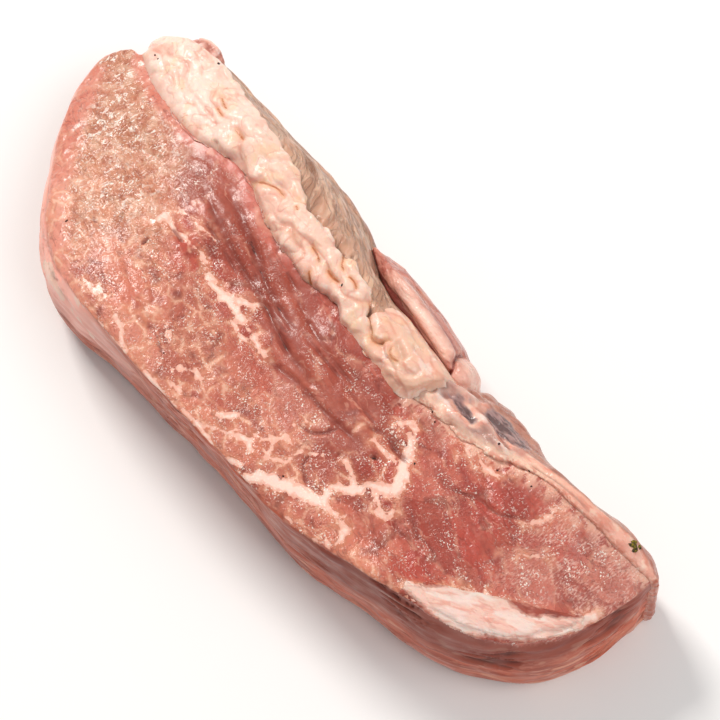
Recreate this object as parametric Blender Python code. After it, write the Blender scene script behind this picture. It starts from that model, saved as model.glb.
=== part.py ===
"""Raw picanha steak: a thick slice of rump cap lying on its flat side.

The frame is in metres with +Z up. +X runs along the slice to its narrow end, +Y
points to the fat cap, and the origin is the bottom centre of the whole slice.

Every piece is a row of ribs. A rib is a closed section that stands upright and
runs across the slice, and neighbouring ribs are joined by a skin:

- lean         the muscle, cut face up
- fat_cap      the thick fat along its back, ending in a squared block
- rim_fat      the thin fat and membrane that carry on from the block to the tip
- side_flap    a folded lip of meat outside the fat cap
- corner_lean  strands of another muscle outside the cap, at the wide end
- seam_fat     the layered strip of fat let into the front edge, near the tip

Plan outlines are smooth curves through a few points, in millimetres.
"""
import bmesh
import bpy
import numpy as np

MM = 0.001

# ---- driving sizes, in millimetres ----
THICKNESS = 33.0            # height of the cut face over the board, mid-slice
GAP = 0.34                  # clear space between pieces that touch
WIDE_DROOP = 11.5           # how far the cut face sags at the wide end
WIDE_DROOP_START = -30.0
WIDE_DROOP_LENGTH = 62.0
TIP_DROOP = 8.5             # and at the narrow end
TIP_DROOP_START = 68.0
TIP_DROOP_LENGTH = 30.0
BULGE_HEIGHT = 11.0         # height at which the side stands out furthest
FOOT_INSET = 3.6            # how far the side turns in under the bulge
EDGE_ROUND = 1.6            # rounding of the upper edge
CAP_STAND = 2.6             # how far the thick fat stands above the lean
THIN_STAND = 0.8            # and the thin fat
SEAM_DEPTH = 2.6            # how far the seam fat is let into the lean
SEAM_EDGE = 0.75            # its depth along its own edge
SEAM_STAND = 0.6            # and how far it stands out of the lean
SEAM_SPAN = (0.755, 0.94)  # where it starts and ends, as shares of the length
FLAP_THICKNESS = 7.5
FLAP_CREVICE = 1.8          # the slot behind the upper edge of the flap
FLAP_REACH = (-9.0, 36.0)   # where the flap starts and ends, by x
STRAND_THICKNESS = 1.8
STRAND_CREVICE = 0.5
STRAND_REACH = (-84.0, -70.0)

# ---- how finely the skin is divided ----
RIBS = 62
TOP_STEPS = 14
CAP_TOP_STEPS = 7
THIN_TOP_STEPS = 3
ARCH_STEPS = 6              # of the side, from the upper edge to the bulge
FOOT_STEPS = 3              # and from the bulge to the board
JUNCTION_STEPS = 7
BOTTOM_STEPS = 3
SEAM_COLUMNS = 5            # columns of skin the seam fat covers behind the edge
SEAM_OVERHANG = 2           # and from the edge down
FIRST_SHARE = 0.006         # the first rib stands this share of the length in

# ---- plan outlines, from the wide end to the tip ----
FRONT_RIM = ((-89, 19), (-93.5, 13), (-92, 3), (-86.5, -5), (-76, -16), (-59, -28), (-40, -34.5),
             (-12, -37), (12, -36), (35, -34), (55, -29), (70, -23), (81, -19), (89, -12),
             (94.5, -1), (97.5, 9), (99, 20))
FRONT_BULGE = ((-94, 21.5), (-98.5, 14), (-96, 4), (-89.5, -7.5), (-79, -19), (-66, -31),
               (-53.5, -37.3), (-42, -37.8), (-30, -36), (-15, -35), (9, -33.5), (24, -33.5),
               (38, -33.5), (57, -29), (75, -25), (86, -19), (95, -10), (99, 0),
               (99.6, 9), (98.8, 18))
CAP_JUNCTION = ((-89, 19.5), (-79, 15.5), (-66, 13), (-55, 12.5), (-45, 15), (-37, 14.8),
                (-29, 12), (-21, 9.5), (-12, 8.4), (-4, 8.6), (2, 9.8), (10, 7.2), (20, 6.2),
                (32.5, 6))
THIN_JUNCTION = ((36, 8.8), (45, 8.6), (54, 11), (62, 14.5), (72, 17), (84, 18.6), (95, 20),
                 (99.2, 20.6))
CAP_JUNCTION_LOW = ((-94, 23), (-80, 21), (-66, 18), (-55, 17), (-45, 18), (-37, 18),
                    (-29, 16), (-21, 14), (-12, 12.5), (-4, 12), (2, 12.5), (10, 11), (20, 10.5),
                    (32.5, 11))
THIN_JUNCTION_LOW = ((36, 14), (45, 16), (54, 17.5), (62, 18.5), (72, 19.5), (84, 20), (95, 20),
                     (98.6, 19))
CAP_RIM = ((-88, 20.8), (-86, 24.8), (-81.5, 28.2), (-73, 30.5), (-60, 27.5), (-43, 25.8),
           (-29, 23.6), (-15, 19.6), (5, 18), (18, 16.5), (34, 14.5))
CAP_BULGE = ((-92.5, 24.5), (-90, 28), (-83, 31.4), (-74, 33.4), (-60, 33.4), (-44, 33),
             (-28, 33.4), (-12, 30.6), (2, 24), (18, 21), (35.5, 19))
THIN_RIM = ((35.4, 13.5), (46, 12.6), (56, 15), (66, 18), (78, 20.2), (90, 22), (99, 22))
THIN_BULGE = ((36.8, 22), (41, 25.8), (50, 26), (62, 23.8), (76, 22.9), (88, 25.6),
              (95.5, 24.6), (99, 21))

# Lumps of the thick fat: (x, y, radius, height).
LUMPS = ((-78, 24, 7, 1.0), (-62, 21, 6, 0.8), (-46, 20, 8, 1.2), (-33, 16, 6, 0.9),
         (-18, 14, 7, 1.5), (-7, 12, 5, 1.2), (3, 13, 5, 1.6), (13, 12, 5, 0.8), (28, 11, 6, 1.3))
# Long valleys between bundles of the muscle: (x, y) to (x, y), half width, depth.
VALLEYS = (((-68, 0), (5, -10), 3.5, 1.3), ((-20, -14), (45, -14), 3.5, 1.0),
           ((-55, -14), (-5, -24), 3.5, 0.7), ((5, -24), (60, -16), 3.5, 0.8))


class Path:
    """A smooth curve through a few points, followed from 0 at one end to 1."""

    def __init__(self, points):
        self.points = np.array(points, float)
        steps = np.linalg.norm(np.diff(self.points, axis=0), axis=1)
        self.knots = np.concatenate(([0.0], np.cumsum(steps))) / steps.sum()
        self.slopes = np.gradient(self.points, self.knots, axis=0)

    def at(self, along):
        """Points at the given shares of the length."""
        left = np.clip(np.searchsorted(self.knots, along) - 1, 0, len(self.knots) - 2)
        span = (self.knots[left + 1] - self.knots[left])[:, None]
        t = (along - self.knots[left])[:, None] / span
        start, end = self.points[left], self.points[left + 1]
        leave, arrive = self.slopes[left] * span, self.slopes[left + 1] * span
        return (start * (2 * t**3 - 3 * t**2 + 1) + leave * (t**3 - 2 * t**2 + t)
                + end * (3 * t**2 - 2 * t**3) + arrive * (t**3 - t**2))

    def to_right(self, along):
        """Unit normals on the right of the way the curve is followed."""
        small = 0.004
        way = self.at(np.clip(along + small, 0, 1)) - self.at(np.clip(along - small, 0, 1))
        way /= np.linalg.norm(way, axis=1)[:, None]
        return np.stack([way[:, 1], -way[:, 0]], axis=1)


# ---- heights ----
def cut_face(plan):
    """Height of the cut face: level mid-slice, sagging to both ends, with valleys."""
    x, y = plan[..., 0], plan[..., 1]
    wide = np.clip((WIDE_DROOP_START - x) / WIDE_DROOP_LENGTH, 0, None) ** 1.6
    tip = np.clip((x - TIP_DROOP_START) / TIP_DROOP_LENGTH, 0, None) ** 1.5
    height = THICKNESS - WIDE_DROOP * wide - TIP_DROOP * tip
    height = height + 0.4 * np.sin(x / 13.0 + y / 9.0) + 0.3 * np.sin(x / 7.0 - y / 5.0)
    for start, end, half_width, depth in VALLEYS:
        start, end = np.array(start, float), np.array(end, float)
        run = end - start
        along = np.clip((plan - start) @ run / (run @ run), 0, 1)
        away = np.linalg.norm(plan - start - along[..., None] * run, axis=-1)
        height = height - depth * np.exp(-(away / half_width) ** 2)
    return height


def lumps(plan):
    """How far the rounded lumps of the thick fat lift its top."""
    lift = np.zeros(plan.shape[:-1])
    for x, y, radius, height in LUMPS:
        away = np.linalg.norm(plan - np.array([x, y], float), axis=-1)
        lift = np.maximum(lift, height * np.exp(-(away / radius) ** 2))
    return lift


# ---- stretches of a rib; every array has a row for each rib ----
def side(rim, bulge, outward, top, room):
    """The upright side, from the rim line at a height down to the board.

    Above the bulge it is a quarter of an arch from the rim line to the bulge line.
    Below, it turns in at the foot, by at most a third of the room behind it.
    """
    arch = np.linspace(0, 1, ARCH_STEPS + 1) * np.pi / 2
    turn = np.linspace(0, 1, FOOT_STEPS + 1)[1:] * np.pi / 2
    spread = np.concatenate([np.sin(arch), np.ones(FOOT_STEPS)])
    rise = np.concatenate([np.cos(arch[:-1]), np.zeros(FOOT_STEPS + 1)])
    tuck = np.concatenate([np.zeros(ARCH_STEPS + 1), 1 - np.cos(turn)])
    lift = np.concatenate([np.ones(ARCH_STEPS + 1), 1 - np.sin(turn[:-1]), [0.0]])
    height = BULGE_HEIGHT * lift + (top[:, None] - BULGE_HEIGHT) * rise
    edge = np.minimum(EDGE_ROUND, room / 5)[:, None] * np.clip(1 - spread / 0.35, 0, 1) ** 2
    foot = np.minimum(FOOT_INSET, room / 3)[:, None] * tuck
    plan = (rim[:, None] + (bulge - rim)[:, None] * spread[:, None]
            - outward[:, None] * (edge + foot)[..., None])
    return np.concatenate([plan, height[..., None]], axis=-1)


def junction_wall(upper, lower, shift, top):
    """Where lean and fat meet: from the board up, moved to either side of the line."""
    rise = np.linspace(0, 1, JUNCTION_STEPS + 1)[None, :, None]
    plan = lower[:, None] * (1 - rise) + upper[:, None] * rise + shift[:, None]
    return np.concatenate([plan, rise * top[:, None, None]], axis=-1)


def close_section(wall, top, outer):
    """Whole ribs: up the junction, over the top, down the side, back underneath."""
    back = np.linspace(0, 1, BOTTOM_STEPS + 1)[1:-1, None]
    under = outer[:, -1:] + (wall[:, :1] - outer[:, -1:]) * back
    return np.concatenate([wall, top, outer, under], axis=1)


def raise_to(plan, height):
    """Plan points with their heights."""
    return np.concatenate([plan, height[..., None]], axis=-1)


def hump(count, ends=0.0):
    """A row of values that rises from the ends to 1 in the middle."""
    return ends + (1 - ends) * np.sin(np.linspace(0, np.pi, count))


def skin_normals(patch):
    """Unit normals of a patch of skin, pointing away from the slice's long axis."""
    normal = np.cross(np.gradient(patch, axis=0), np.gradient(patch, axis=1))
    normal /= np.linalg.norm(normal, axis=-1)[..., None]
    from_axis = patch * np.array([0, 1, 1])
    return normal * np.sign(np.sum(normal * from_axis, axis=-1))[..., None]


class Slice:
    """The ribs of the whole slice, from which each piece takes its own."""

    def __init__(self):
        upper = Path(CAP_JUNCTION + THIN_JUNCTION)
        lower = Path(CAP_JUNCTION_LOW + THIN_JUNCTION_LOW)
        block_end = upper.knots[len(CAP_JUNCTION) - 1]
        self.along = self.stations(block_end)
        self.on_cap = self.along < block_end
        self.junction = upper.at(self.along)
        self.junction_low = lower.at(self.along)
        self.to_lean = upper.to_right(self.along)

    @staticmethod
    def stations(block_end):
        """Where the ribs stand along the junction, closer at the ends and the block."""
        even = np.linspace(0, 1, RIBS)
        crowded = 0.55 * even + 0.45 * (0.5 - 0.5 * np.cos(even * np.pi))
        crowded = FIRST_SHARE + (1 - 2 * FIRST_SHARE) * crowded
        crowded = crowded[np.abs(crowded - block_end) > 0.008]
        step = 0.0015
        at_block = block_end + step * np.array([-3, -1, 1])
        return np.sort(np.concatenate([crowded, at_block]))

    def lean_ribs(self):
        """The muscle, from the junction over the cut face and down the front."""
        rim = Path(FRONT_RIM).at(self.along)
        bulge = Path(FRONT_BULGE).at(self.along)
        outward = Path(FRONT_BULGE).to_right(self.along)
        shift = self.to_lean * GAP / 2
        left_over = np.linspace(1, 0, TOP_STEPS + 1)[1:-1] ** 1.35
        left_over = np.repeat(left_over[None], len(self.along), axis=0)
        ribs = self.on_seam()
        left_over[ribs, -SEAM_COLUMNS:] *= hump(ribs.sum(), 0.3)[:, None]
        start = self.junction + shift
        plan = rim[:, None] + (start - rim)[:, None] * left_over[..., None]
        return close_section(
            junction_wall(self.junction, self.junction_low, shift, cut_face(self.junction)),
            raise_to(plan, cut_face(plan)),
            side(rim, bulge, outward, cut_face(rim),
                 np.linalg.norm(bulge - self.junction_low, axis=1)))

    def fat_ribs(self, chosen, rim, bulge, stand, top_steps, lumpy):
        """A length of fat, from the junction over its top and down the back."""
        part = (self.along[chosen] - self.along[chosen][0]) / np.ptp(self.along[chosen])
        rim_line, bulge_line = Path(rim).at(part), Path(bulge).at(part)
        outward = -Path(bulge).to_right(part)
        upper, lower = self.junction[chosen], self.junction_low[chosen]
        shift = -self.to_lean[chosen] * GAP / 2
        over = np.linspace(0, 1, top_steps + 1)[1:-1]
        start = upper + shift
        plan = start[:, None] + (rim_line - start)[:, None] * over[None, :, None]
        stand = stand * np.clip(part / 0.07, 0, 1) ** 0.5
        height = cut_face(plan) + stand[:, None] * np.sin(over * np.pi / 2) ** 0.5
        return close_section(
            junction_wall(upper, lower, shift, cut_face(upper)),
            raise_to(plan, height + lumpy * lumps(plan)),
            side(rim_line, bulge_line, outward, cut_face(rim_line) + 0.8 * stand,
                 np.linalg.norm(bulge_line - lower, axis=1)))

    def on_seam(self):
        """Which ribs the seam fat spans."""
        return (self.along > SEAM_SPAN[0]) & (self.along < SEAM_SPAN[1])

    def seam_ribs(self, lean):
        """The seam fat, in a bed that is pressed into the front edge of the lean."""
        ribs = self.on_seam()
        edge = JUNCTION_STEPS + TOP_STEPS
        columns = slice(edge - SEAM_COLUMNS, edge + SEAM_OVERHANG)
        patch = lean[ribs, columns].copy()
        normal = skin_normals(patch)
        swell = hump(patch.shape[0])[:, None] * hump(patch.shape[1])[None, :]
        depth = (SEAM_EDGE + (SEAM_DEPTH - SEAM_EDGE) * swell)[..., None]
        lean[ribs, columns] = patch - normal * depth
        inner = patch - normal * (depth - GAP)
        outer = patch + normal * SEAM_STAND * swell[..., None]
        return np.concatenate([inner, outer[:, ::-1]], axis=1)


def flank_layer(flank, reach, thickness, crevice):
    """A strip that lies against the flank of the thick fat.

    The reach picks the ribs by x. The strip swells and narrows along its length,
    and its upper edge stands off, with a crevice behind it.
    """
    x = flank[:, 0, 0]
    patch = flank[(x > reach[0]) & (x < reach[1])]
    ribs, rows = patch.shape[:2]
    swell = np.sin(np.linspace(0.1, 0.93, ribs) * np.pi)[:, None]
    level = np.linspace(-0.5, 0.5, rows) * (rows - 1)
    for rib, width in zip(patch, swell[:, 0] ** 0.5):
        for axis in range(3):
            rib[:, axis] = np.interp(level * width, level, rib[:, axis].copy())
    behind = GAP + crevice * swell * np.linspace(1, 0, rows)[None, :] ** 2
    body = thickness * (0.3 + 0.7 * swell) * hump(rows, 0.35)[None, :]
    normal = skin_normals(patch)
    inner = patch + normal * behind[..., None]
    outer = inner + normal * body[..., None]
    return np.concatenate([inner, outer[:, ::-1]], axis=1)


def bottom_centre(pieces):
    """The middle of the box round all pieces, at board height."""
    points = np.concatenate([piece.reshape(-1, 3) for piece in pieces])
    low, high = points.min(axis=0), points.max(axis=0)
    return np.array([(low[0] + high[0]) / 2, (low[1] + high[1]) / 2, 0.0])


# ---- making the pieces ----
def material(name, colour, roughness):
    """A Principled material of one colour."""
    made = bpy.data.materials.new(name)
    made.use_nodes = True
    shader = made.node_tree.nodes["Principled BSDF"]
    shader.inputs["Base Color"].default_value = (*colour, 1.0)
    shader.inputs["Roughness"].default_value = roughness
    shader.inputs["Metallic"].default_value = 0.0
    return made


def loft(name, ribs, made_of):
    """A closed body: equal ribs joined by a skin, with a cap on each end.

    Every cell of the skin is split the same way, so skins that lie on each other
    keep their distance.
    """
    body = bmesh.new()
    rings = [[body.verts.new(point * MM) for point in rib] for rib in ribs]
    for ring, following in zip(rings, rings[1:]):
        for i in range(len(ring)):
            j = (i + 1) % len(ring)
            body.faces.new((ring[i], ring[j], following[j]))
            body.faces.new((ring[i], following[j], following[i]))
    caps = [body.faces.new(rings[0]), body.faces.new(rings[-1])]
    bmesh.ops.triangulate(body, faces=caps)
    bmesh.ops.recalc_face_normals(body, faces=body.faces[:])
    mesh = bpy.data.meshes.new(name)
    body.to_mesh(mesh)
    body.free()
    mesh.materials.append(made_of)
    mesh.shade_smooth()
    piece = bpy.data.objects.new(name, mesh)
    bpy.context.collection.objects.link(piece)
    return piece


def main():
    """Clear the scene, build the six pieces and centre them on the origin."""
    for item in list(bpy.data.objects):
        bpy.data.objects.remove(item)
    whole = Slice()
    lean = whole.lean_ribs()
    seam = whole.seam_ribs(lean)
    cap = whole.fat_ribs(whole.on_cap, CAP_RIM, CAP_BULGE, CAP_STAND, CAP_TOP_STEPS, 1.0)
    rim = whole.fat_ribs(~whole.on_cap, THIN_RIM, THIN_BULGE, THIN_STAND, THIN_TOP_STEPS, 0.0)
    upper_edge = JUNCTION_STEPS + CAP_TOP_STEPS
    flank = cap[:, upper_edge:upper_edge + ARCH_STEPS + FOOT_STEPS + 1]
    flap = flank_layer(flank[:, 3:9], FLAP_REACH, FLAP_THICKNESS, FLAP_CREVICE)
    strands = flank_layer(flank[:, 2:7], STRAND_REACH, STRAND_THICKNESS, STRAND_CREVICE)

    ribs = {"lean": lean, "fat_cap": cap, "rim_fat": rim, "side_flap": flap,
            "corner_lean": strands, "seam_fat": seam}
    finish = {"lean": ((0.48, 0.15, 0.11), 0.40), "fat_cap": ((0.93, 0.66, 0.50), 0.45),
              "rim_fat": ((0.86, 0.52, 0.42), 0.45), "side_flap": ((0.72, 0.34, 0.27), 0.40),
              "corner_lean": ((0.33, 0.08, 0.06), 0.40), "seam_fat": ((0.90, 0.62, 0.55), 0.40)}
    origin = bottom_centre(ribs.values())
    for name, sections in ribs.items():
        loft(name, sections - origin, material(name, *finish[name]))


if __name__ == "__main__":
    main()
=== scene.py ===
"""Looks of the raw picanha steak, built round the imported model.

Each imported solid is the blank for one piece: a dense skin is cut from it, carved in
numpy and dressed in a finish. Lengths are in millimetres unless a name says otherwise.
+X runs along the slice to its narrow end, +Y points to the fat cap and +Z is up.
"""
import logging
import math
from dataclasses import dataclass
from enum import Enum
from itertools import product
from typing import Any, ClassVar

import bmesh
import bpy
import numpy as np
from mathutils import Matrix, Vector
from mathutils.bvhtree import BVHTree


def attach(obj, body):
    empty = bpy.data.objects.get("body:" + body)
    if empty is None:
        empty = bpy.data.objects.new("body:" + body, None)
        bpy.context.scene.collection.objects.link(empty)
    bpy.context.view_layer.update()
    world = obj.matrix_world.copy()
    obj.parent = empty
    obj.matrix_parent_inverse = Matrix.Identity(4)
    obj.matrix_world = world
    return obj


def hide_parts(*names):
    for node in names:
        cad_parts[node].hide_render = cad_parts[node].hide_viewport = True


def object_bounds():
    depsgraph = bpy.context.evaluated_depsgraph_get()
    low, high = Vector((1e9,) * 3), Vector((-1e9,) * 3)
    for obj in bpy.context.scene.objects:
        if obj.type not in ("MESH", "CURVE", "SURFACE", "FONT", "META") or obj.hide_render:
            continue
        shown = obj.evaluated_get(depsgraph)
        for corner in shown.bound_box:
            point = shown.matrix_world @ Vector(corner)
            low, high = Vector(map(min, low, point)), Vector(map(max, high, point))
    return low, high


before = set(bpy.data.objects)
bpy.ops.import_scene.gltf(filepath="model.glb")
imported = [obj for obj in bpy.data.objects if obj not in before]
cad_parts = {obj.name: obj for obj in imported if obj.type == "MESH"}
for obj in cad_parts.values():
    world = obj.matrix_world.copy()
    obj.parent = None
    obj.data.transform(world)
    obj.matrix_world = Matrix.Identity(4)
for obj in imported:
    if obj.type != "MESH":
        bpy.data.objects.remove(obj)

CAD_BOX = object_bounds()
MM = 0.001
BODY = "root"
LOG = logging.getLogger("picanha")

Array = np.ndarray
Socket = bpy.types.NodeSocket
Tree = bpy.types.NodeTree
Colour = tuple[float, float, float, float]
Stretch = float | tuple[float, float, float]

# Sockets of a Mix node that mixes colours.
SHARE, UNDER, OVER, MIXED = 0, 6, 7, 2


class Slot(Enum):
    """The material slots of the pieces."""

    LEAN = "lean_meat"
    CREAM = "cream_fat"
    PINK = "pink_fat"
    FLAP = "flap_meat"
    STRANDS = "strand_meat"
    SEAM = "seam_fat"


class Layer(Enum):
    """Values that a skin holds at its points, for its finish to read."""

    FACE = "cut_face"
    SEAM = "seam_mm"
    FOLD = "fold_mm"
    WIDE = "wide_end"
    GLINT = "glint"
    NET = "net"
    FLANK = "flank"
    FLOW = "flow"
    MARKS_AND_LIGHT = "marks_and_light"
    RIM = "near_rim"
    CAP = "cap_mm"
    DUSK = "dusk"
    TIP = "narrow_end"
    BLUSH_AND_LIGHT = "blush_and_light"
    BILLOW = "billow"


# ---------------------------------------------------------------- numbers and patterns
LATTICE_SIZE = 4096
LATTICE = np.random.default_rng(11).uniform(-1, 1, (LATTICE_SIZE, 3))
# The grid's corners are kept above 0 and then spread over the lattice by large primes.
GRID_SHIFT = 100_000
GRID_PRIMES = np.array((73856093, 19349663, 83492791))
SEED_PRIME = 26544357


def ease(value: Array, low: float, high: float) -> Array:
    """Rise smoothly from 0 at low to 1 at high.

    Args:
        value: any numbers.
        low: where the rise starts.
        high: where it ends; it may lie under low, and then the result falls.

    Returns:
        Numbers from 0 to 1.
    """
    share = np.clip((value - low) / (high - low), 0, 1)
    return share * share * (3 - 2 * share)


def lattice(corners: Array, seed: int) -> Array:
    """Three fixed random numbers from -1 to 1 for each corner of a grid.

    Args:
        corners: whole-number corners, one to a row.
        seed: picks one of many such grids.

    Returns:
        One row of three numbers for each corner.
    """
    x, y, z = ((corners + GRID_SHIFT) * GRID_PRIMES).T
    return LATTICE[(x ^ y ^ z ^ seed * SEED_PRIME) % LATTICE_SIZE]


def above_board(height: Array, low: float = 0.3) -> Array:
    """0 where the slice rests on the board and 1 from 3 mm up, so that its foot stays flat."""
    return ease(height, low, 3.0)


def bell(value: Array, half: float) -> Array:
    """1 where a value is 0, dying away on both sides over some half width."""
    return np.exp(-(value / half) ** 2)


def noise(spots: Array, size: float | tuple, seed: int, detail: int = 1) -> Array:
    """Smooth random swelling and sinking through space.

    Args:
        spots: points, one to a row.
        size: how far apart the lumps are, or three such sizes.
        seed: picks the pattern.
        detail: how many ever finer layers are added up.

    Returns:
        About -1 to 1 for each point.
    """
    total = np.zeros(len(spots))
    for layer in range(detail):
        spot = spots / size * 2**layer
        base = np.floor(spot).astype(np.int64)
        part = spot - base
        fade = part**3 * (part * (part * 6 - 15) + 10)
        for step in product((0, 1), repeat=3):
            slope = lattice(base + step, seed + layer)
            weight = np.prod(np.where(np.array(step) == 1, fade, 1 - fade), axis=1)
            total += weight * np.sum((part - step) * slope, axis=1) * 1.3 / 2**layer
    return total


def noises(spots: Array, size: float, seed: int) -> Array:
    """Three patterns of noise side by side, to push points about with."""
    return np.stack([noise(spots, size, seed + axis) for axis in range(3)], axis=1)


def cells(spots: Array, size: float | tuple, seed: int) -> tuple[Array, Array]:
    """Split space into uneven lumps, each round a point of its own.

    Args:
        spots: points, one to a row.
        size: how far apart the lumps are, or three such sizes.
        seed: picks the pattern.

    Returns:
        How far each point is inside its lump, 0 on the border and in shares of the size,
        and a number from -1 to 1 that is the lump's own.
    """
    spot = spots / size
    base = np.floor(spot).astype(np.int64)
    first = np.full(len(spots), np.inf)
    second = first.copy()
    tone = np.zeros(len(spots))
    for step in product((-1, 0, 1), repeat=3):
        random = lattice(base + step, seed)
        away = np.linalg.norm(spot - (base + step + 0.5 + 0.42 * random), axis=1)
        closer = away < first
        second = np.where(closer, first, np.minimum(second, away))
        tone = np.where(closer, random[:, 0], tone)
        first = np.minimum(first, away)
    return second - first, tone


def smooth_line(points: tuple, step: float = 0.8) -> Array:
    """A smooth curve through given points.

    Args:
        points: two or more places, each of two or three numbers.
        step: the distance between the points of the result.

    Returns:
        Points along the curve, one to a row.
    """
    ends = np.array(points, float)
    padded = np.vstack([2 * ends[0] - ends[1], ends, 2 * ends[-1] - ends[-2]])
    line = []
    for a, b, c, d in zip(padded, padded[1:], padded[2:], padded[3:]):
        count = max(2, int(np.linalg.norm(c - b) / step) + 1)
        t = np.linspace(0, 1, count, endpoint=False)[:, None]
        line.append(b + 0.5 * t * (c - a + t * (2 * a - 5 * b + 4 * c - d
                                                + t * (3 * (b - c) + d - a))))
    return np.vstack(line + [ends[-1:]])


def near_line(spots: Array, line: Array) -> tuple[Array, Array]:
    """Where points lie by a curve.

    Args:
        spots: points, one to a row; numbers beyond the curve's own dimensions are left out.
        line: points along the curve.

    Returns:
        Each point's distance to the curve, and the share of the curve's length at the
        nearest place.
    """
    spots = spots[:, :line.shape[1]]
    lengths = np.linalg.norm(np.diff(line, axis=0), axis=1)
    reached = np.concatenate([[0.0], np.cumsum(lengths)]) / lengths.sum()
    best = np.full(len(spots), np.inf)
    share = np.zeros(len(spots))
    for i, (start, end) in enumerate(zip(line, line[1:])):
        run = end - start
        along = np.clip((spots - start) @ run / (run @ run), 0, 1)
        away = np.linalg.norm(spots - start - along[:, None] * run, axis=1)
        closer = away < best
        best = np.where(closer, away, best)
        share = np.where(closer, reached[i] + along * (reached[i + 1] - reached[i]), share)
    return best, share


def round_the_side(spots: Array, half_length: float = 99.0, half_width: float = 36.0,
                   steps: int = 720) -> Array:
    """How far round the slice's side each point is, along an oval of its size.

    Args:
        spots: points, one to a row.
        half_length: half the oval's length.
        half_width: half its width.
        steps: how many straight steps the oval is measured in.

    Returns:
        A length for each point.
    """
    turn = np.linspace(-math.pi, math.pi, steps + 1)
    reached = np.cumsum(np.hypot(half_length * np.sin(turn), half_width * np.cos(turn))
                        * (turn[1] - turn[0]))
    return np.interp(np.arctan2(spots[:, 1] / half_width, spots[:, 0] / half_length), turn, reached)


def rolled_out(along: Array, height: Array) -> Array:
    """Places on a side as if it were rolled out flat: the way along it, nothing, the height."""
    return np.stack([along, 0 * along, height], axis=1)


@dataclass(frozen=True)
class Line:
    """A line drawn on the piece.

    Args:
        points: the way it takes, as (x, y) seen from above or as (x, y, z).
    """

    points: tuple[tuple[float, ...], ...]

    @classmethod
    def several(cls, *rows: tuple) -> tuple[Any, ...]:
        """Lines of this kind, from one row of sizes for each."""
        return tuple(cls(*row) for row in rows)

    def near(self, spots: Array, reach: float) -> Array:
        """Whether each point is in the line's own box, made larger by some reach."""
        seen = spots[:, :len(self.points[0])]
        return np.all((seen > np.min(self.points, axis=0) - reach)
                      & (seen < np.max(self.points, axis=0) + reach), axis=1)


@dataclass(frozen=True)
class Stroke(Line):
    """One pass of a carving tool, seen from above.

    Args:
        half_width: how wide it works to either side.
        lift: how far it raises the skin; less than 0 cuts into it.
    """

    half_width: float
    lift: float

    def press(self, spots: Array) -> Array:
        """Press the stroke into the skin; it dies away towards both of its ends.

        Args:
            spots: points, one to a row.

        Returns:
            How far the stroke lifts each point.
        """
        near = self.near(spots, 3 * self.half_width)
        away, share = near_line(spots[near], smooth_line(self.points))
        lift = np.zeros(len(spots))
        lift[near] = self.lift * ease(np.minimum(share, 1 - share), -0.12, 0.2) * bell(away, self.half_width)
        return lift

    def away(self, spots: Array, far: float) -> Array:
        """Measure to the stroke, seen from above.

        Args:
            spots: points, one to a row.
            far: the most that is told.

        Returns:
            How far each point is from it, and a little more at its thin ends.
        """
        near = self.near(spots, far)
        away, share = near_line(spots[near], smooth_line(self.points))
        result = np.full(len(spots), far)
        result[near] = np.minimum(away + 0.8 * ease(np.minimum(share, 1 - share), 0.25, 0.0), far)
        return result


def cut_depth(strokes: tuple[Stroke, ...], spots: Array) -> Array:
    """How deep the deepest of some cutting strokes goes at each point."""
    return np.max([-stroke.press(spots) for stroke in strokes], axis=0)


@dataclass(frozen=True)
class Vein(Line):
    """A strand of fat that shows in the muscle.

    Args:
        halves: half its width at places spread evenly along it.
    """

    halves: tuple[float, ...]

    def outside(self, spots: Array, far: float) -> Array:
        """Measure to the strand.

        Args:
            spots: points, one to a row.
            far: the most that is told.

        Returns:
            How far each point is outside the strand, less than 0 inside it.
        """
        near = self.near(spots, far)
        away, share = near_line(spots[near], np.array(self.points, float))
        half = np.interp(share, np.linspace(0, 1, len(self.halves)), self.halves)
        result = np.full(len(spots), far)
        result[near] = np.minimum(away - half, far)
        return result


# ---------------------------------------------------------------- the clay that is carved
def read_rows(data: bpy.types.bpy_prop_collection, kind: str) -> Array:
    """Read a vector of each item of mesh data.

    Args:
        data: the items, such as a mesh's vertices.
        kind: what the vector is called.

    Returns:
        One row of three numbers for each item.
    """
    flat = np.zeros(len(data) * 3, np.float32)
    data.foreach_get(kind, flat)
    return flat.reshape(-1, 3).astype(float)


def add_object(name: str, data: bpy.types.ID) -> bpy.types.Object:
    """Add an object to the scene.

    Args:
        name: what it is called.
        data: its mesh, light or camera.

    Returns:
        The object.
    """
    made = bpy.data.objects.new(name, data)
    bpy.context.scene.collection.objects.link(made)
    return made


def cast(name: str, work: bmesh.types.BMesh) -> bpy.types.Mesh:
    """Turn a mesh in the making into a finished one.

    Args:
        name: what the mesh is called.
        work: the mesh in the making, which is used up.

    Returns:
        The mesh.
    """
    mesh = bpy.data.meshes.new(name)
    work.to_mesh(mesh)
    work.free()
    return mesh


def ride_along(name: str, mesh: bpy.types.Mesh, material: bpy.types.Material) -> bpy.types.Object:
    """Make a dressed object of a mesh, which rides on the slice.

    Args:
        name: what the object is called.
        mesh: its mesh.
        material: what it is dressed in.

    Returns:
        The object.
    """
    mesh.materials.append(material)
    piece = add_object(name, mesh)
    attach(piece, BODY)
    return piece


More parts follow.
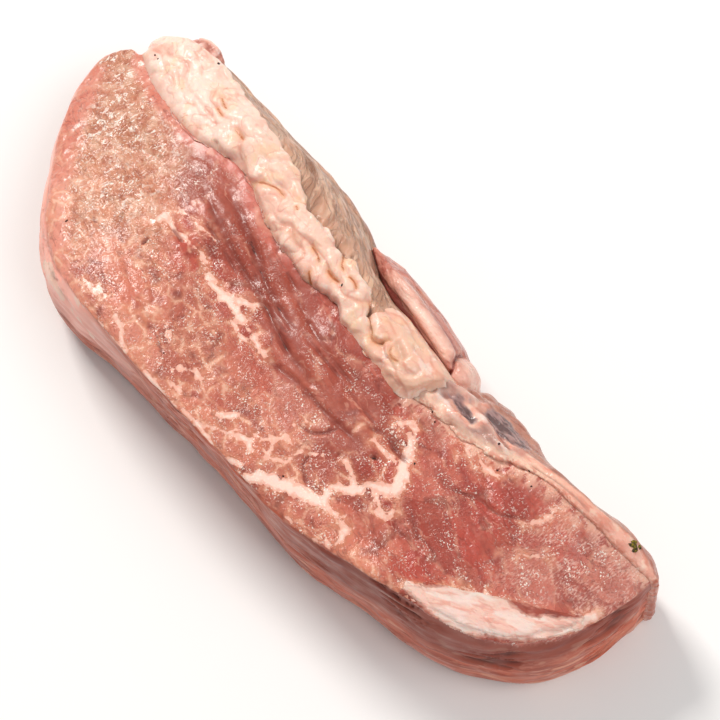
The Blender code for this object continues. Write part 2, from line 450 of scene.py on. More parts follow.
class Clay:
    """The dense skin of one piece, carved in millimetres and then made into a mesh."""

    def __init__(self, node: str, cell: float, relax: int) -> None:
        """Cut an even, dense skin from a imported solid.

        Args:
            node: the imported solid.
            cell: the size of the skin's cells.
            relax: how many rounds take the steps out of it.
        """
        blank = add_object(node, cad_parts[node].data.copy())
        remesh = blank.modifiers.new("cells", "REMESH")
        remesh.mode = "VOXEL"
        remesh.voxel_size = cell * MM
        smooth = blank.modifiers.new("relax", "SMOOTH")
        smooth.factor = 0.5
        smooth.iterations = relax
        ready = blank.evaluated_get(bpy.context.evaluated_depsgraph_get())
        self.mesh = bpy.data.meshes.new_from_object(ready)
        bpy.data.objects.remove(blank)
        self.mesh.materials.clear()
        self.spots = read_rows(self.mesh.vertices, "co") / MM
        self.first = self.spots.copy()
        self.normals = read_rows(self.mesh.vertex_normals, "vector")
        self.fold = np.zeros(len(self.spots))
        self.layers: dict[Layer, Array] = {}

    def lift(self, height: Array) -> None:
        """Move each point along its normal."""
        self.spots += self.normals * height[:, None]

    def shift(self, way: tuple[float, float, float], amount: Array) -> None:
        """Move each point some way in one direction."""
        self.spots += np.array(way) * amount[:, None]

    def crease(self, depth: Array) -> None:
        """Cut folds of some depth and remember them for the finish."""
        self.fold = np.maximum(self.fold, depth)
        self.lift(-depth)

    def soften(self, where: Array, rounds: int, pull: float = 0.6) -> None:
        """Round the skin off by drawing each point towards the middle of its neighbours.

        Args:
            where: how much of it to do at each point, from 0 to 1.
            rounds: how many times.
            pull: how far each round goes.
        """
        ends = np.zeros(len(self.mesh.edges) * 2, np.int32)
        self.mesh.edges.foreach_get("vertices", ends)
        start, end = ends.reshape(-1, 2).T
        count = np.bincount(start, minlength=len(where)) + np.bincount(end, minlength=len(where))
        for _ in range(rounds):
            middle = np.stack([np.bincount(start, self.spots[end, axis], len(where))
                               + np.bincount(end, self.spots[start, axis], len(where))
                               for axis in range(3)], axis=1) / count[:, None]
            self.spots += pull * where[:, None] * (middle - self.spots)

    def fill_seam(self, away: Array, height: float = 0.6, half: float = 0.9) -> None:
        """Raise the skin beside a neighbour, so that no groove is left between the two.

        Args:
            away: each point's distance to the neighbour.
            height: how far to raise what touches it.
            half: the distance over which that dies away.
        """
        self.spots[:, 2] += height * bell(away, half) * ease(self.normals[:, 2], 0.1, 0.6)

    def towards(self, node: str, far: float) -> tuple[Array, Array]:
        """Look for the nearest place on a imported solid.

        Args:
            node: the solid.
            far: how far to look.

        Returns:
            The way from each point to it and that way's length, which is far if none is near.
        """
        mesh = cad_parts[node].data
        solid = BVHTree.FromPolygons([v.co for v in mesh.vertices],
                                     [face.vertices for face in mesh.polygons])
        corners = np.array([v.co for v in mesh.vertices]) / MM
        near = np.all((self.spots > corners.min(axis=0) - far)
                      & (self.spots < corners.max(axis=0) + far), axis=1)
        way = np.zeros_like(self.spots)
        away = np.full(len(self.spots), far)
        for i in np.flatnonzero(near):
            place, _, _, found = solid.find_nearest(self.spots[i] * MM, far * MM)
            if place is not None:
                way[i] = np.array(place) / MM - self.spots[i]
                away[i] = found / MM
        return way, away

    def meet(self, neighbours: tuple[str, ...], far: float, overlap: float = 0.25,
             share: Array | float = 1.0) -> None:
        """Close the gaps to other pieces: what lies near one is pulled onto it.

        Args:
            neighbours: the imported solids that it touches.
            far: how far away the pull ends.
            overlap: how far the nearest skin goes into the neighbour.
            share: how much of the way each point goes.
        """
        for node in neighbours:
            way, away = self.towards(node, far)
            pull = share * (1 - (away / far) ** 2) * (away + overlap) / np.maximum(away, 0.001)
            self.spots += way * pull[:, None]

    def finish(self) -> bpy.types.Mesh:
        """Write the carved points and the layers into the mesh.

        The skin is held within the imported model's box, flat where it rests on the board.

        Returns:
            The mesh.
        """
        low, high = (np.array(corner) / MM for corner in CAD_BOX)
        inside = np.clip(self.spots, low, high)
        self.mesh.vertices.foreach_set("co", (inside * MM).astype(np.float32).ravel())
        self.mesh.update()
        self.layers[Layer.FOLD] = self.fold
        for layer, values in self.layers.items():
            kind, field = ("FLOAT", "value") if values.ndim == 1 else ("FLOAT_VECTOR", "vector")
            held = self.mesh.attributes.new(layer.value, kind, "POINT")
            held.data.foreach_set(field, values.astype(np.float32).ravel())
        self.mesh.polygons.foreach_set("use_smooth", [True] * len(self.mesh.polygons))
        self.thin_the_bottom()
        return self.mesh

    def thin_the_bottom(self, level: float = 0.02) -> None:
        """Join the flat faces that lie on the board, which need no fine cells.

        Args:
            level: how far up a face still counts as flat on the board.
        """
        work = bmesh.new()
        work.from_mesh(self.mesh)
        flat = [face for face in work.faces if all(v.co.z < level * MM for v in face.verts)]
        if flat:
            region = bmesh.ops.dissolve_faces(work, faces=flat, use_verts=False)["region"]
            bmesh.ops.triangulate(work, faces=region)
        work.to_mesh(self.mesh)
        work.free()


# ---------------------------------------------------------------- fields over a surface
# A pattern that isn't stretched.
EVEN = 1.0
# The turn that lays the first axis along the fibres of the muscle.
GRAIN = math.radians(11.5)


def linear(colour: str) -> Colour:
    """Turn a colour from sRGB to linear.

    Args:
        colour: sRGB, as a hex value.

    Returns:
        Linear red, green, blue and alpha.
    """
    parts = [int(colour[i:i + 2], 16) / 255 for i in (1, 3, 5)]
    red, green, blue = (p / 12.92 if p <= 0.04045 else ((p + 0.055) / 1.055) ** 2.4 for p in parts)
    return red, green, blue, 1.0


def add_node(tree: Tree, kind: str, inputs: dict[int | str, Any] | None = None,
             **settings: Any) -> bpy.types.Node:
    """Add one shader node with its settings and links.

    Args:
        tree: the tree that it goes into.
        kind: the node's type, without "ShaderNode".
        inputs: for its inputs, by name or number, a field to link or a plain value.
        settings: values for its properties.

    Returns:
        The node.
    """
    node = tree.nodes.new("ShaderNode" + kind)
    for name, value in settings.items():
        setattr(node, name, value)
    for name, value in (inputs or {}).items():
        if isinstance(value, Field):
            tree.links.new(value.socket, node.inputs[name])
        else:
            node.inputs[name].default_value = value
    return node


@dataclass(frozen=True)
class Field:
    """Something that varies over a surface: a mask from 0 to 1, a colour or coordinates.

    Args:
        socket: the output of a node that gives it.
    """

    socket: Socket

    def then(self, kind: str, inputs: dict[int | str, Any], output: int | str = 0,
             **settings: Any) -> "Field":
        """Go on with a new node in the same tree.

        Args:
            kind: the node's type, without "ShaderNode".
            inputs: for its inputs, by name or number, a field to link or a plain value.
            output: which of its outputs to take.
            settings: values for its properties.

        Returns:
            That output.
        """
        node = add_node(self.socket.id_data, kind, inputs, **settings)
        return Field(node.outputs[output])

    def __mul__(self, other: "Field | float") -> "Field":
        """Where both masks show, or a weaker mask; kept from 0 to 1."""
        return self.then("Math", {0: self, 1: other}, operation="MULTIPLY", use_clamp=True)

    def __or__(self, other: "Field") -> "Field":
        """Where either mask shows: the larger of the two."""
        return self.then("Math", {0: self, 1: other}, operation="MAXIMUM", use_clamp=True)

    def __invert__(self) -> "Field":
        """Where the mask doesn't show."""
        return self.scaled(-1.0, 1.0)

    def __abs__(self) -> "Field":
        """The field without its sign."""
        return self.then("Math", {0: self}, operation="ABSOLUTE")

    def scaled(self, factor: float, added: "Field | float") -> "Field":
        """The field times a factor, plus a number or another field, with no limits."""
        return self.then("Math", {0: self, 1: factor, 2: added}, operation="MULTIPLY_ADD")

    def ramp(self, start: float, end: float) -> "Field":
        """A mask that rises smoothly from 0 where the field is start to 1 where it is end."""
        return self.then("MapRange", {"Value": self, "From Min": start, "From Max": end},
                         interpolation_type="SMOOTHSTEP")

    def between(self, under: "Field | Colour", over: "Field | Colour") -> "Field":
        """One colour where the mask is 0, which turns into another where it is 1."""
        return self.then("Mix", {SHARE: self, UNDER: under, OVER: over}, MIXED, data_type="RGBA")

    def read(self, layer: Layer) -> "Field":
        """A layer of the same skin, as a vector for the flow and the billows."""
        return self.then("Attribute", {}, "Vector" if layer in (Layer.FLOW, Layer.BILLOW) else "Fac",
                         attribute_name=layer.value)

    def stirred(self, size: float, reach: float) -> "Field":
        """The coordinates pushed about, so that patterns on them bend.

        Args:
            size: how far apart the bends are.
            reach: how far a point may be pushed.

        Returns:
            The pushed coordinates.
        """
        push = self.then("TexNoise", {"Vector": self, "Scale": 1 / (size * MM), "Detail": 2.0}, "Color")
        return push.then("VectorMath", {0: push, 1: (reach * MM,) * 3, 2: self}, operation="MULTIPLY_ADD")

    def counted(self, size: float, stretch: Stretch) -> "Field":
        """The coordinates counted in the size of a pattern, which may be stretched."""
        longer = (stretch, 1.0, 1.0) if isinstance(stretch, float) else stretch
        return self.then("Mapping", {"Vector": self, "Scale": [1 / (size * MM * long) for long in longer]})

    def noise(self, size: float, detail: float = 2.0, stretch: Stretch = EVEN) -> "Field":
        """Noise over the coordinates.

        Args:
            size: how far apart its lumps are.
            detail: how ragged they are.
            stretch: how much longer they are along the first axis, or along each.

        Returns:
            The noise, from about 0.2 to 0.8.
        """
        counted = self.counted(size, stretch)
        return counted.then("TexNoise", {"Vector": counted, "Scale": 1.0, "Detail": detail})

    def patches(self, size: float, low: float = 0.45, high: float = 0.6, detail: float = 2.0,
                stretch: Stretch = EVEN) -> "Field":
        """Soft patches over the coordinates.

        Args:
            size: how far apart they are.
            low: the noise at which they start to show.
            high: the noise at which they show in full.
            detail: how ragged they are.
            stretch: how much longer they are along the first axis, or along each.

        Returns:
            1 inside the patches and 0 outside.
        """
        return self.noise(size, detail, stretch).ramp(low, high)

    def threads(self, size: float, width: float, detail: float = 2.0,
                stretch: Stretch = EVEN) -> "Field":
        """Thin winding lines, along which the noise passes its middle value.

        Args:
            size: how far apart they are.
            width: half a line's width, in the noise's own units.
            detail: how ragged they are.
            stretch: how much longer they are along the first axis, or along each.

        Returns:
            1 on the lines and 0 off them.
        """
        return abs(self.noise(size, detail, stretch).scaled(1.0, -0.5)).ramp(width, 0.0)

    def bundles(self, size: float, stretch: Stretch) -> tuple["Field", "Field"]:
        """Packed bundles of fibres, seen end on.

        Args:
            size: how far apart they are.
            stretch: how much longer they are along the first axis, or along each.

        Returns:
            A random shade from 0 to 1 for each bundle, and the distance to its border.
        """
        inputs = {"Vector": self.counted(size, stretch), "Scale": 1.0}
        return (self.then("TexVoronoi", inputs, "Color"),
                self.then("TexVoronoi", inputs, "Distance", feature="DISTANCE_TO_EDGE"))


def paint(ground: Field | str, coats: list[tuple[str, Field, float]]) -> Field:
    """Lay thin coats of colour over a ground, one after another.

    Args:
        ground: the colour below, as a field or a hex value.
        coats: for each coat its hex colour, its mask and its strength.

    Returns:
        The colour that results.
    """
    below = linear(ground) if isinstance(ground, str) else ground
    for colour, mask, strength in coats:
        below = (mask * strength).between(below, linear(colour))
    return below


# ---------------------------------------------------------------- finishes
@dataclass(frozen=True)
class Finish:
    """What every finish here has: wet tissue that lets a little light in.

    Args:
        roughness: of the skin, at its wettest and at its driest.
        wet: how much clear juice lies on it.
        depth: how far red light travels inside, in millimetres.
        bleed: how much of the light goes in.
    """

    name: ClassVar[str] = ""
    roughness: tuple[float, float] = (0.22, 0.42)
    wet: float = 0.3
    depth: float = 1.6
    bleed: float = 0.25

    def make(self) -> bpy.types.Material:
        """Build the material.

        Returns:
            The material.
        """
        made = bpy.data.materials.new(self.name)
        made.use_nodes = True
        tree = made.node_tree
        tree.nodes.clear()
        shader = add_node(tree, "BsdfPrincipled", {
            "IOR": 1.4,  # water and protein
            "Metallic": 0.0,
            "Subsurface Weight": self.bleed,
            "Subsurface Radius": (1.0, 0.42, 0.3),  # red goes deepest
            "Subsurface Scale": self.depth * MM,
            "Coat Weight": self.wet,
            "Coat Roughness": 0.12,
            "Coat IOR": 1.34,  # juice
        })
        add_node(tree, "OutputMaterial", {"Surface": Field(shader.outputs[0])})
        spot = Field(add_node(tree, "TexCoord").outputs["Object"])
        for name, field in self.skin(spot).items():
            tree.links.new(field.socket, shader.inputs[name])
        return made

    def skin(self, spot: Field) -> dict[str, Field]:
        """What varies over the surface; each finish has its own.

        Args:
            spot: the piece's own coordinates.

        Returns:
            Fields for the shader's inputs, by name.
        """
        raise NotImplementedError

    def wear(self, colour: Field, reliefs: list[tuple[Field, float]], dry: Field) -> dict[str, Field]:
        """Put a skin together.

        Args:
            colour: what it is painted with.
            reliefs: for each relief its height from 0 to 1 and its full height in millimetres.
            dry: 0 where the skin is wettest and 1 where it is driest.

        Returns:
            Fields for the shader's inputs, by name.
        """
        stacked: dict[int | str, Any] = {}
        for height, depth in reliefs:
            normal = height.then("Bump", {**stacked, "Height": height, "Strength": 1.0,
                                          "Distance": depth * MM})
            stacked = {"Normal": normal}
        low, high = self.roughness
        rough = dry.then("MapRange", {"Value": dry, "To Min": low, "To Max": high})
        return {"Base Color": colour, "Normal": normal, "Coat Normal": normal, "Roughness": rough}


@dataclass(frozen=True)
class CutMuscle(Finish):
    """Beef muscle, chilled and cut with a long knife.

    The blade leaves the ends of the fibre bundles open, so the face is grainy and wet and
    throws many small glints, some of them painted on as white flecks. The sides are the
    outer skin of the muscle, pulled into layers.
    """

    name: ClassVar[str] = "knife_cut_chilled_beef_muscle"
    roughness: tuple[float, float] = (0.30, 0.52)
    wet: float = 0.4

    def skin(self, spot: Field) -> dict[str, Field]:
        """Paint and emboss the cut face and the sides.

        Args:
            spot: the piece's own coordinates.

        Returns:
            Fields for the shader's inputs, by name.
        """
        fold, face = spot.read(Layer.FOLD), spot.read(Layer.FACE)
        bent = spot.then("Mapping", {"Vector": spot, "Rotation": (0, 0, GRAIN)}).stirred(5.0, 2.6)
        bundles = bent.bundles(3.4, 1.5)
        cut, fat = self.paint_cut(spot, bent, bundles)
        # Painted shade in the carved grooves, cracks and folds, darkest where they are deepest.
        cut = paint(cut, [
            ("#8A3F34", fold.ramp(0.18, 0.65), 0.75),
            ("#4A1F1B", fold.ramp(0.85, 1.2), 0.9),
        ])
        colour = face.between(self.paint_side(spot, fold, fat), cut)
        wet = face * spot.read(Layer.DUSK).scaled(-0.6, 1.0)
        lean = wet * ~(fat | spot.read(Layer.BLUSH_AND_LIGHT) * 0.7)
        worn = self.wear(colour, [
            (bundles[1].ramp(0.0, 0.3) * lean, 0.07),
            (bent.patches(1.3, 0.3, 0.7) * lean, 0.08),
            (spot.patches(0.6, 0.45, 0.70, 1.0) * (lean * spot.read(Layer.GLINT)), 0.13),
        ], spot.patches(6.0, 0.4, 0.62, 3.0))
        juice = wet.then("MapRange", {"Value": wet, "To Min": 0.04, "To Max": self.wet})
        return {**worn, "Coat Weight": juice}

    def paint_cut(self, spot: Field, bent: Field, bundles: tuple[Field, Field]) -> tuple[Field, Field]:
        """Paint the cut face.

        Args:
            spot: the piece's own coordinates.
            bent: the same, turned to the grain and pushed about.
            bundles: the shade of each small bundle and the distance to its border.

        Returns:
            The colour, and 1 on fat.
        """
        seam, wide, net, rim, dusk, tip, glint, blush_and_light = map(spot.read, (
            Layer.SEAM, Layer.WIDE, Layer.NET, Layer.RIM, Layer.DUSK, Layer.TIP, Layer.GLINT,
            Layer.BLUSH_AND_LIGHT))
        shade, edge = bundles
        across = spot.then("SeparateXYZ", {0: spot}, 1)
        webbed = (net | seam.ramp(3.5, 0.3)) * spot.patches(6.0, 0.44, 0.56, 3.0)
        web = edge.ramp(0.13, 0.02) * webbed * spot.patches(2.2, 0.42, 0.56)
        halo = edge.ramp(0.36, 0.06) * webbed
        ragged = spot.noise(1.3, 2.5).scaled(-1.8, edge.scaled(2.6, seam))
        fat = ragged.ramp(-0.28, -0.62)
        fringe = ragged.ramp(1.3, -0.6) * spot.patches(5.0, 0.42, 0.58)
        large, border = bent.bundles(8.5, 2.0)
        pale_seams = border.ramp(0.07, 0.0) * spot.patches(5.0, 0.48, 0.58, 3.0)
        dark_seams = (border.ramp(0.10, 0.0) * bent.patches(5.0, 0.50, 0.60, 3.0)
                      * (wide | blush_and_light | tip).ramp(0.5, 0.0))
        fibres = bent.threads(3.2, 0.03, 2.0, (5.0, 0.8, 1.0)) * spot.patches(7.0, 0.46, 0.58)
        dashes = bent.threads(3.5, 0.035, 2.0, (2.2, 0.9, 1.0)) * spot.patches(4.0, 0.53, 0.62)
        long_glints = bent.threads(2.2, 0.07, 1.5, (0.9, 1.7, 1.0)) * spot.patches(1.9, 0.50, 0.57) * wide
        glint_dots = spot.patches(0.45, 0.58, 0.66, 1.0) * bent.patches(3.0, 0.47, 0.56, 2.0, (1.6, 0.8, 1.0))
        feather = rim * spot.patches(1.6, 0.40, 0.54, 3.0, (1.0, 2.5, 1.0)) | rim.ramp(0.90, 0.99)
        streaks = (tip * spot.patches(4.0, 0.38, 0.56)
                   * spot.stirred(5.0, 1.2).patches(0.36, 0.44, 0.66, 2.0, (1.0, 2.6, 1.0)))
        colour = paint("#B95043", [
            ("#A0443A", bent.patches(8.0, 0.46, 0.58, 3.0, (3.0, 0.8, 1.0)), 0.8),
            ("#CB6E5B", bent.patches(6.0, 0.51, 0.62, 3.0, (3.0, 0.8, 1.0)), 0.75),
            ("#A0503E", dusk, 0.7),
            ("#E08E74", net, 0.7),
            ("#D67C6C", tip, 0.5),
            ("#9C4437", shade.ramp(0.60, 1.0), 0.5),
            ("#CF7561", shade.ramp(0.40, 0.0), 0.5),
            ("#98473A", large.ramp(0.55, 0.8), 0.5),
            ("#CC8270", large.ramp(0.40, 0.15), 0.45),
            ("#CF9270", wide, 0.72),
            ("#B36548", wide * spot.patches(2.6, 0.46, 0.60, 3.0), 0.7),
            ("#EBC0A6", wide * bent.patches(4.0, 0.48, 0.60, 4.0), 0.5),
            ("#D97868", blush_and_light, 0.65),
            ("#F3B5A0", blush_and_light * across.ramp(-10 * MM, -22 * MM), 0.35),
            ("#8F4A40", spot.patches(0.9, 0.52, 0.64), 0.25),
            ("#DB9A82", pale_seams, 0.55),
            ("#7A332A", dark_seams, 0.6),
            ("#7A372E", fibres, 0.45),
            ("#DC9070", fringe | halo, 0.6),
            ("#EDB79D", web, 0.85),
            ("#DF9F88", dashes, 0.45),
            # Pale streaks at the narrow end: partly pale fibres, partly painted glints along them.
            ("#F6C6B6", streaks, 0.55),
            ("#F0BBA4", feather, 0.8),
            ("#F0B6A2", fat, 1.0),
            ("#FADBCD", ragged.ramp(-0.7, -1.5), 0.9),
            # Painted highlights: small white glints, and long ones at the wide end.
            ("#FFF0E4", (long_glints | glint_dots) * glint, 0.9),
        ])
        return colour, fat

    def paint_side(self, spot: Field, fold: Field, fat: Field) -> Field:
        """Paint the outer skin of the muscle.

        Args:
            spot: the piece's own coordinates.
            fold: the depth of its folds.
            fat: 1 on fat.

        Returns:
            The colour.
        """
        flow = spot.read(Layer.FLOW)
        drift = flow.stirred(9.0, 3.0)
        height = flow.then("SeparateXYZ", {0: flow}, 2)
        base = drift.patches(3.0, 0.50, 0.60, 2.0, 4.0) * height.ramp(12 * MM, 3 * MM)
        return paint("#C8684F", [
            ("#984431", drift.patches(3.2, 0.46, 0.62, 3.0, 7.0), 0.75),
            ("#C97B68", drift.patches(5.0, 0.50, 0.64, 2.0, 3.0), 0.6),
            ("#8A4237", drift.patches(1.0, 0.50, 0.64, 3.0, 9.0), 0.4),
            ("#D9917C", drift.threads(2.4, 0.03, 3.0, 6.0), 0.45),
            ("#DB9C84", drift.patches(1.6, 0.57, 0.66, 2.0, 5.0), 0.8),
            # Painted shade along the upper part of the side towards the narrow end.
            ("#7C362B", spot.read(Layer.MARKS_AND_LIGHT), 0.7),
            ("#DC9A80", base, 0.8),
            # Painted shade in the carved slits of the side.
            ("#5B2E29", fold.ramp(0.2, 0.8), 0.8),
            # Painted light: the side at the wide end, which faces the key lamp, is painted much paler.
            ("#FFB9A9", spot.read(Layer.BLUSH_AND_LIGHT), 0.95),
            ("#F1C7B5", fat, 1.0),
        ])


@dataclass(frozen=True)
class CreamFat(Finish):
    """Hard beef fat, torn from the next muscle and cut.

    It is soft lobules in a thin pinkish web: light goes deep into it, so its folds glow,
    and that glow and the shade in the folds are painted in as well. Its flank has dried to
    a grey-brown net, whose paint is partly that dry colour and partly painted shade.
    """

    name: ClassVar[str] = "trimmed_hard_beef_fat"
    roughness: tuple[float, float] = (0.34, 0.55)
    wet: float = 0.2
    depth: float = 2.6
    bleed: float = 0.45

    def skin(self, spot: Field) -> dict[str, Field]:
        """Paint and emboss the cream top and the dry flank.

        Args:
            spot: the piece's own coordinates.

        Returns:
            Fields for the shader's inputs, by name.
        """
        fold, billow, flow = map(spot.read, (Layer.FOLD, Layer.BILLOW, Layer.FLOW))
        large, small, line = (billow.then("SeparateXYZ", {0: billow}, axis) for axis in range(3))
        along = spot.then("SeparateXYZ", {0: spot})
        bent = spot.stirred(4.0, 2.0)
        red = bent.threads(7.0, 0.012) * spot.patches(6.0, 0.52, 0.62)
        top = paint("#F3CBB8", [
            ("#F9DDCF", along.ramp(-35 * MM, -60 * MM), 0.7),
            ("#E2B092", along.ramp(9 * MM, 18 * MM), 0.5),
            ("#F0B5A2", bent.patches(7.0, 0.46, 0.64, 3.0), 0.6),
            ("#F3CCA6", spot.patches(6.0, 0.52, 0.66), 0.5),
            ("#FBE0D2", bent.patches(3.5, 0.54, 0.66, 3.0), 0.7),
            ("#E09078", spot.read(Layer.RIM).ramp(2.2, 0.3), 0.6),
            ("#DB8474", red, 0.5),
            # Painted shade and glow: pink in the valleys between lobules, orange and brown along the
            # creases, beige in the block's hollows and brown in the deepest folds.
            ("#E2A08E", abs(small).ramp(0.12, 0.0) * bent.patches(5.0, 0.46, 0.58), 0.5),
            ("#DD9880", abs(large).ramp(0.11, 0.0) * spot.patches(8.0, 0.42, 0.56), 0.65),
            ("#E9A878", line.ramp(1.0, 0.1), 0.6),
            ("#BC6434", line.ramp(0.36, 0.08), 0.85),
            ("#D2A488", fold.ramp(0.25, 0.9) * along.ramp(10 * MM, 15 * MM), 0.45),
            ("#8A4530", fold.ramp(0.85, 1.2), 0.5),
        ])
        drift, calm = flow.stirred(7.0, 3.0), flow.stirred(9.0, 1.2)
        web = drift.threads(1.2, 0.06, 3.0, 7.0)
        cracks = calm.threads(2.6, 0.02, 4.0, 9.0) * spot.patches(6.0, 0.44, 0.56)
        # The flank's grey-brown net: partly its dried colour, partly painted shade.
        dry = paint("#CC9C82", [
            ("#AE826B", drift.patches(2.2, 0.45, 0.6, 3.0, 4.0), 0.75),
            ("#E4BCA2", drift.patches(2.4, 0.52, 0.62, 2.0, 3.0), 0.7),
            ("#8A6152", web, 0.28),
            ("#E3C2AE", calm.threads(1.6, 0.05, 3.0, 8.0), 0.25),
            ("#74503F", cracks, 0.5),
            # Mauve towards the foot of the flank.
            ("#AA7468", spot.read(Layer.MARKS_AND_LIGHT), 0.8),
            # Painted shade in the flank's carved creases.
            ("#6A4334", fold.ramp(0.3, 0.9), 0.8),
        ])
        flank = spot.read(Layer.FLANK).ramp(-0.15, 0.15)
        return self.wear(flank.between(top, dry), [
            (bent.noise(2.2), 0.3),
            ((web | cracks) * flank, -0.25),
            (spot.noise(0.8, 1.0), 0.06),
        ], spot.patches(5.0, 0.4, 0.62))


@dataclass(frozen=True)
class RimFat(Finish):
    """Thin fat and silverskin, peeled and folded.

    Cream and pink lumps lie among lilac membrane, and purple-grey muscle shows through it.
    """

    name: ClassVar[str] = "peeled_silverskin_and_fat"
    depth: float = 2.0
    bleed: float = 0.35

    def skin(self, spot: Field) -> dict[str, Field]:
        """Paint and emboss the folded top and the side.

        Args:
            spot: the piece's own coordinates.

        Returns:
            Fields for the shader's inputs, by name.
        """
        marks_and_light, cap = spot.read(Layer.MARKS_AND_LIGHT), spot.read(Layer.CAP)
        along = spot.then("SeparateXYZ", {0: spot})
        bent = spot.stirred(4.0, 2.0)
        sheets = bent.noise(1.8, 3.0, 3.5)
        streaks = sheets.ramp(0.46, 0.6)
        top = paint("#EFB4A0", [
            ("#DB8F7B", streaks, 0.7),
            ("#F6D3BF", bent.patches(3.0, 0.52, 0.66), 0.7),
            ("#B28F87", spot.read(Layer.RIM), 0.75),
            ("#F6D0B9", cap.ramp(3.4, 1.8) * along.ramp(80 * MM, 62 * MM), 0.75),
            ("#D38470", cap.ramp(2.2, 0.2) * bent.patches(0.8, 0.42, 0.54, 3.0, 1.4), 0.8),
            # Painted shade in the carved folds and slits.
            ("#9A645A", spot.read(Layer.FOLD).ramp(0.2, 0.7), 0.75),
            ("#F7E3DA", spot.read(Layer.BLUSH_AND_LIGHT), 0.7),
        ])
        side = paint("#B77F6F", [
            ("#95604F", streaks, 0.45),
            ("#8A5546", bent.threads(3.5, 0.03, 3.0, 5.0), 0.6),
            ("#D3A08D", bent.patches(2.4, 0.50, 0.66, 3.0, 5.0), 0.5),
            ("#B5624C", along.ramp(88 * MM, 94 * MM), 0.75),
        ])
        striped = bent.patches(1.3, 0.34, 0.50, 3.0, 4.0)
        colour = paint(spot.read(Layer.FLANK).between(top, side), [
            ("#A58888", marks_and_light.ramp(0.02, 0.5), 0.75),
            ("#5F4A4A", marks_and_light.ramp(0.35, 0.95) * striped, 0.85),
        ])
        reliefs = [(sheets, 0.4), (spot.noise(0.9), 0.15)]
        return self.wear(colour, reliefs, spot.patches(3.0, 0.4, 0.62))


@dataclass(frozen=True)
class PulledMeat(Finish):
    """A lip of muscle pulled off along its skin.

    It is smooth and moist, with fibres along its length and a pale taut ridge, whose
    pale paint is partly its own colour and partly a painted highlight.
    """

    name: ClassVar[str] = "pulled_beef_muscle"
    ground: str = "#D08B7C"
    streak: str = "#A9584B"
    ridge: str = "#FFDBCB"
    cleft_shade: str = "#84302A"

    def skin(self, spot: Field) -> dict[str, Field]:
        """Paint and emboss the lip.

        Args:
            spot: the piece's own coordinates.

        Returns:
            Fields for the shader's inputs, by name.
        """
        marks_and_light, flank = spot.read(Layer.MARKS_AND_LIGHT), spot.read(Layer.FLANK)
        bent = spot.stirred(5.0, 1.5)
        grain = bent.noise(1.4, 3.0, 7.0)
        fibres = grain.ramp(0.46, 0.6)
        colour = paint(self.ground, [
            (self.streak, fibres, 0.75),
            ("#DDA08A", bent.patches(4.0, 0.5, 0.64, 2.0, 2.0), 0.6),
            # On the flap, the pale crest and knob are partly their own colour, partly a painted highlight.
            (self.ridge, marks_and_light, 0.95),
            ("#E79A84", fibres * marks_and_light, 0.45),
            ("#B2806D", flank, 0.9),
            ("#94685A", fibres * flank, 0.45),
            # Painted shade in the folds and grooves, and in the crevice beside the fat cap.
            (self.cleft_shade, spot.read(Layer.FOLD).ramp(0.3, 1.0), 0.85),
        ])
        return self.wear(colour, [(grain, 0.5), (spot.noise(0.8), 0.18)], spot.patches(4.0, 0.4, 0.62))


@dataclass(frozen=True)
class LayeredFat(Finish):
    """Fat between two muscles, parted by the knife.

    It peels in thin pinkish-white layers, whose edges show as fine lines along the strip.
    """

    name: ClassVar[str] = "layered_seam_fat"
    roughness: tuple[float, float] = (0.3, 0.5)
    depth: float = 2.4
    bleed: float = 0.4
    turn: float = math.radians(-36)

    def skin(self, spot: Field) -> dict[str, Field]:
        """Paint and emboss the strip, and the muscle beside it.

        Args:
            spot: the piece's own coordinates.

        Returns:
            Fields for the shader's inputs, by name.
        """
        bent = spot.then("Mapping", {"Vector": spot, "Rotation": (0, 0, self.turn)}).stirred(6.0, 2.0)
        sheets = bent.noise(0.9, 3.0, 9.0)
        ragged = bent.noise(1.6, 3.0, 1.5).scaled(-2.4, spot.read(Layer.SEAM))
        muscle = paint("#A64E3F", [
            ("#8C4033", bent.patches(2.4, 0.46, 0.6, 3.0, (4.0, 1.5, 1.0)), 0.8),
            ("#CB8270", bent.patches(1.2, 0.50, 0.62, 2.0, 3.0), 0.7),
            ("#F3C6B4", ragged.ramp(-0.2, -0.9), 0.5),
        ])
        strip = paint("#F5C9BA", [
            ("#EBA897", sheets.ramp(0.48, 0.6), 0.75),
            ("#FBE4DB", bent.patches(2.4, 0.5, 0.62, 2.0, 5.0), 0.65),
            # Painted shade in the carved creases between the layers.
            ("#B8604F", spot.read(Layer.FOLD).ramp(0.2, 0.6), 0.6),
        ])
        colour = ragged.ramp(-1.25, -0.9).between(strip, muscle)
        return self.wear(colour, [(sheets, 0.3), (spot.noise(0.8), 0.1)], spot.patches(4.0, 0.4, 0.62))


@dataclass(frozen=True)
class DryCrumb(Finish):
    """Dried plant matter, dull and uneven in colour, which takes the shine away where it sticks."""

    name: str = "dried_herb_crumb_4A2A20"
    roughness: tuple[float, float] = (0.55, 0.8)
    wet: float = 0.1
    bleed: float = 0.0
    dark: str = "#2A1712"
    light: str = "#4A2A20"

    def skin(self, spot: Field) -> dict[str, Field]:
        """Paint and emboss the crumb.

        Args:
            spot: the piece's own coordinates.

        Returns:
            Fields for the shader's inputs, by name.
        """
        lumps = spot.noise(0.5)
        patches = lumps.ramp(0.42, 0.6)
        return self.wear(paint(self.dark, [(self.light, patches, 0.9)]), [(lumps, 0.1)], patches)


# ---------------------------------------------------------------- the pieces
# Heights between which the fat's upper edge starts, and below which the block and the rim join.
UPPER_EDGE = (25, 29)
BELOW_TOP = (34.5, 32)
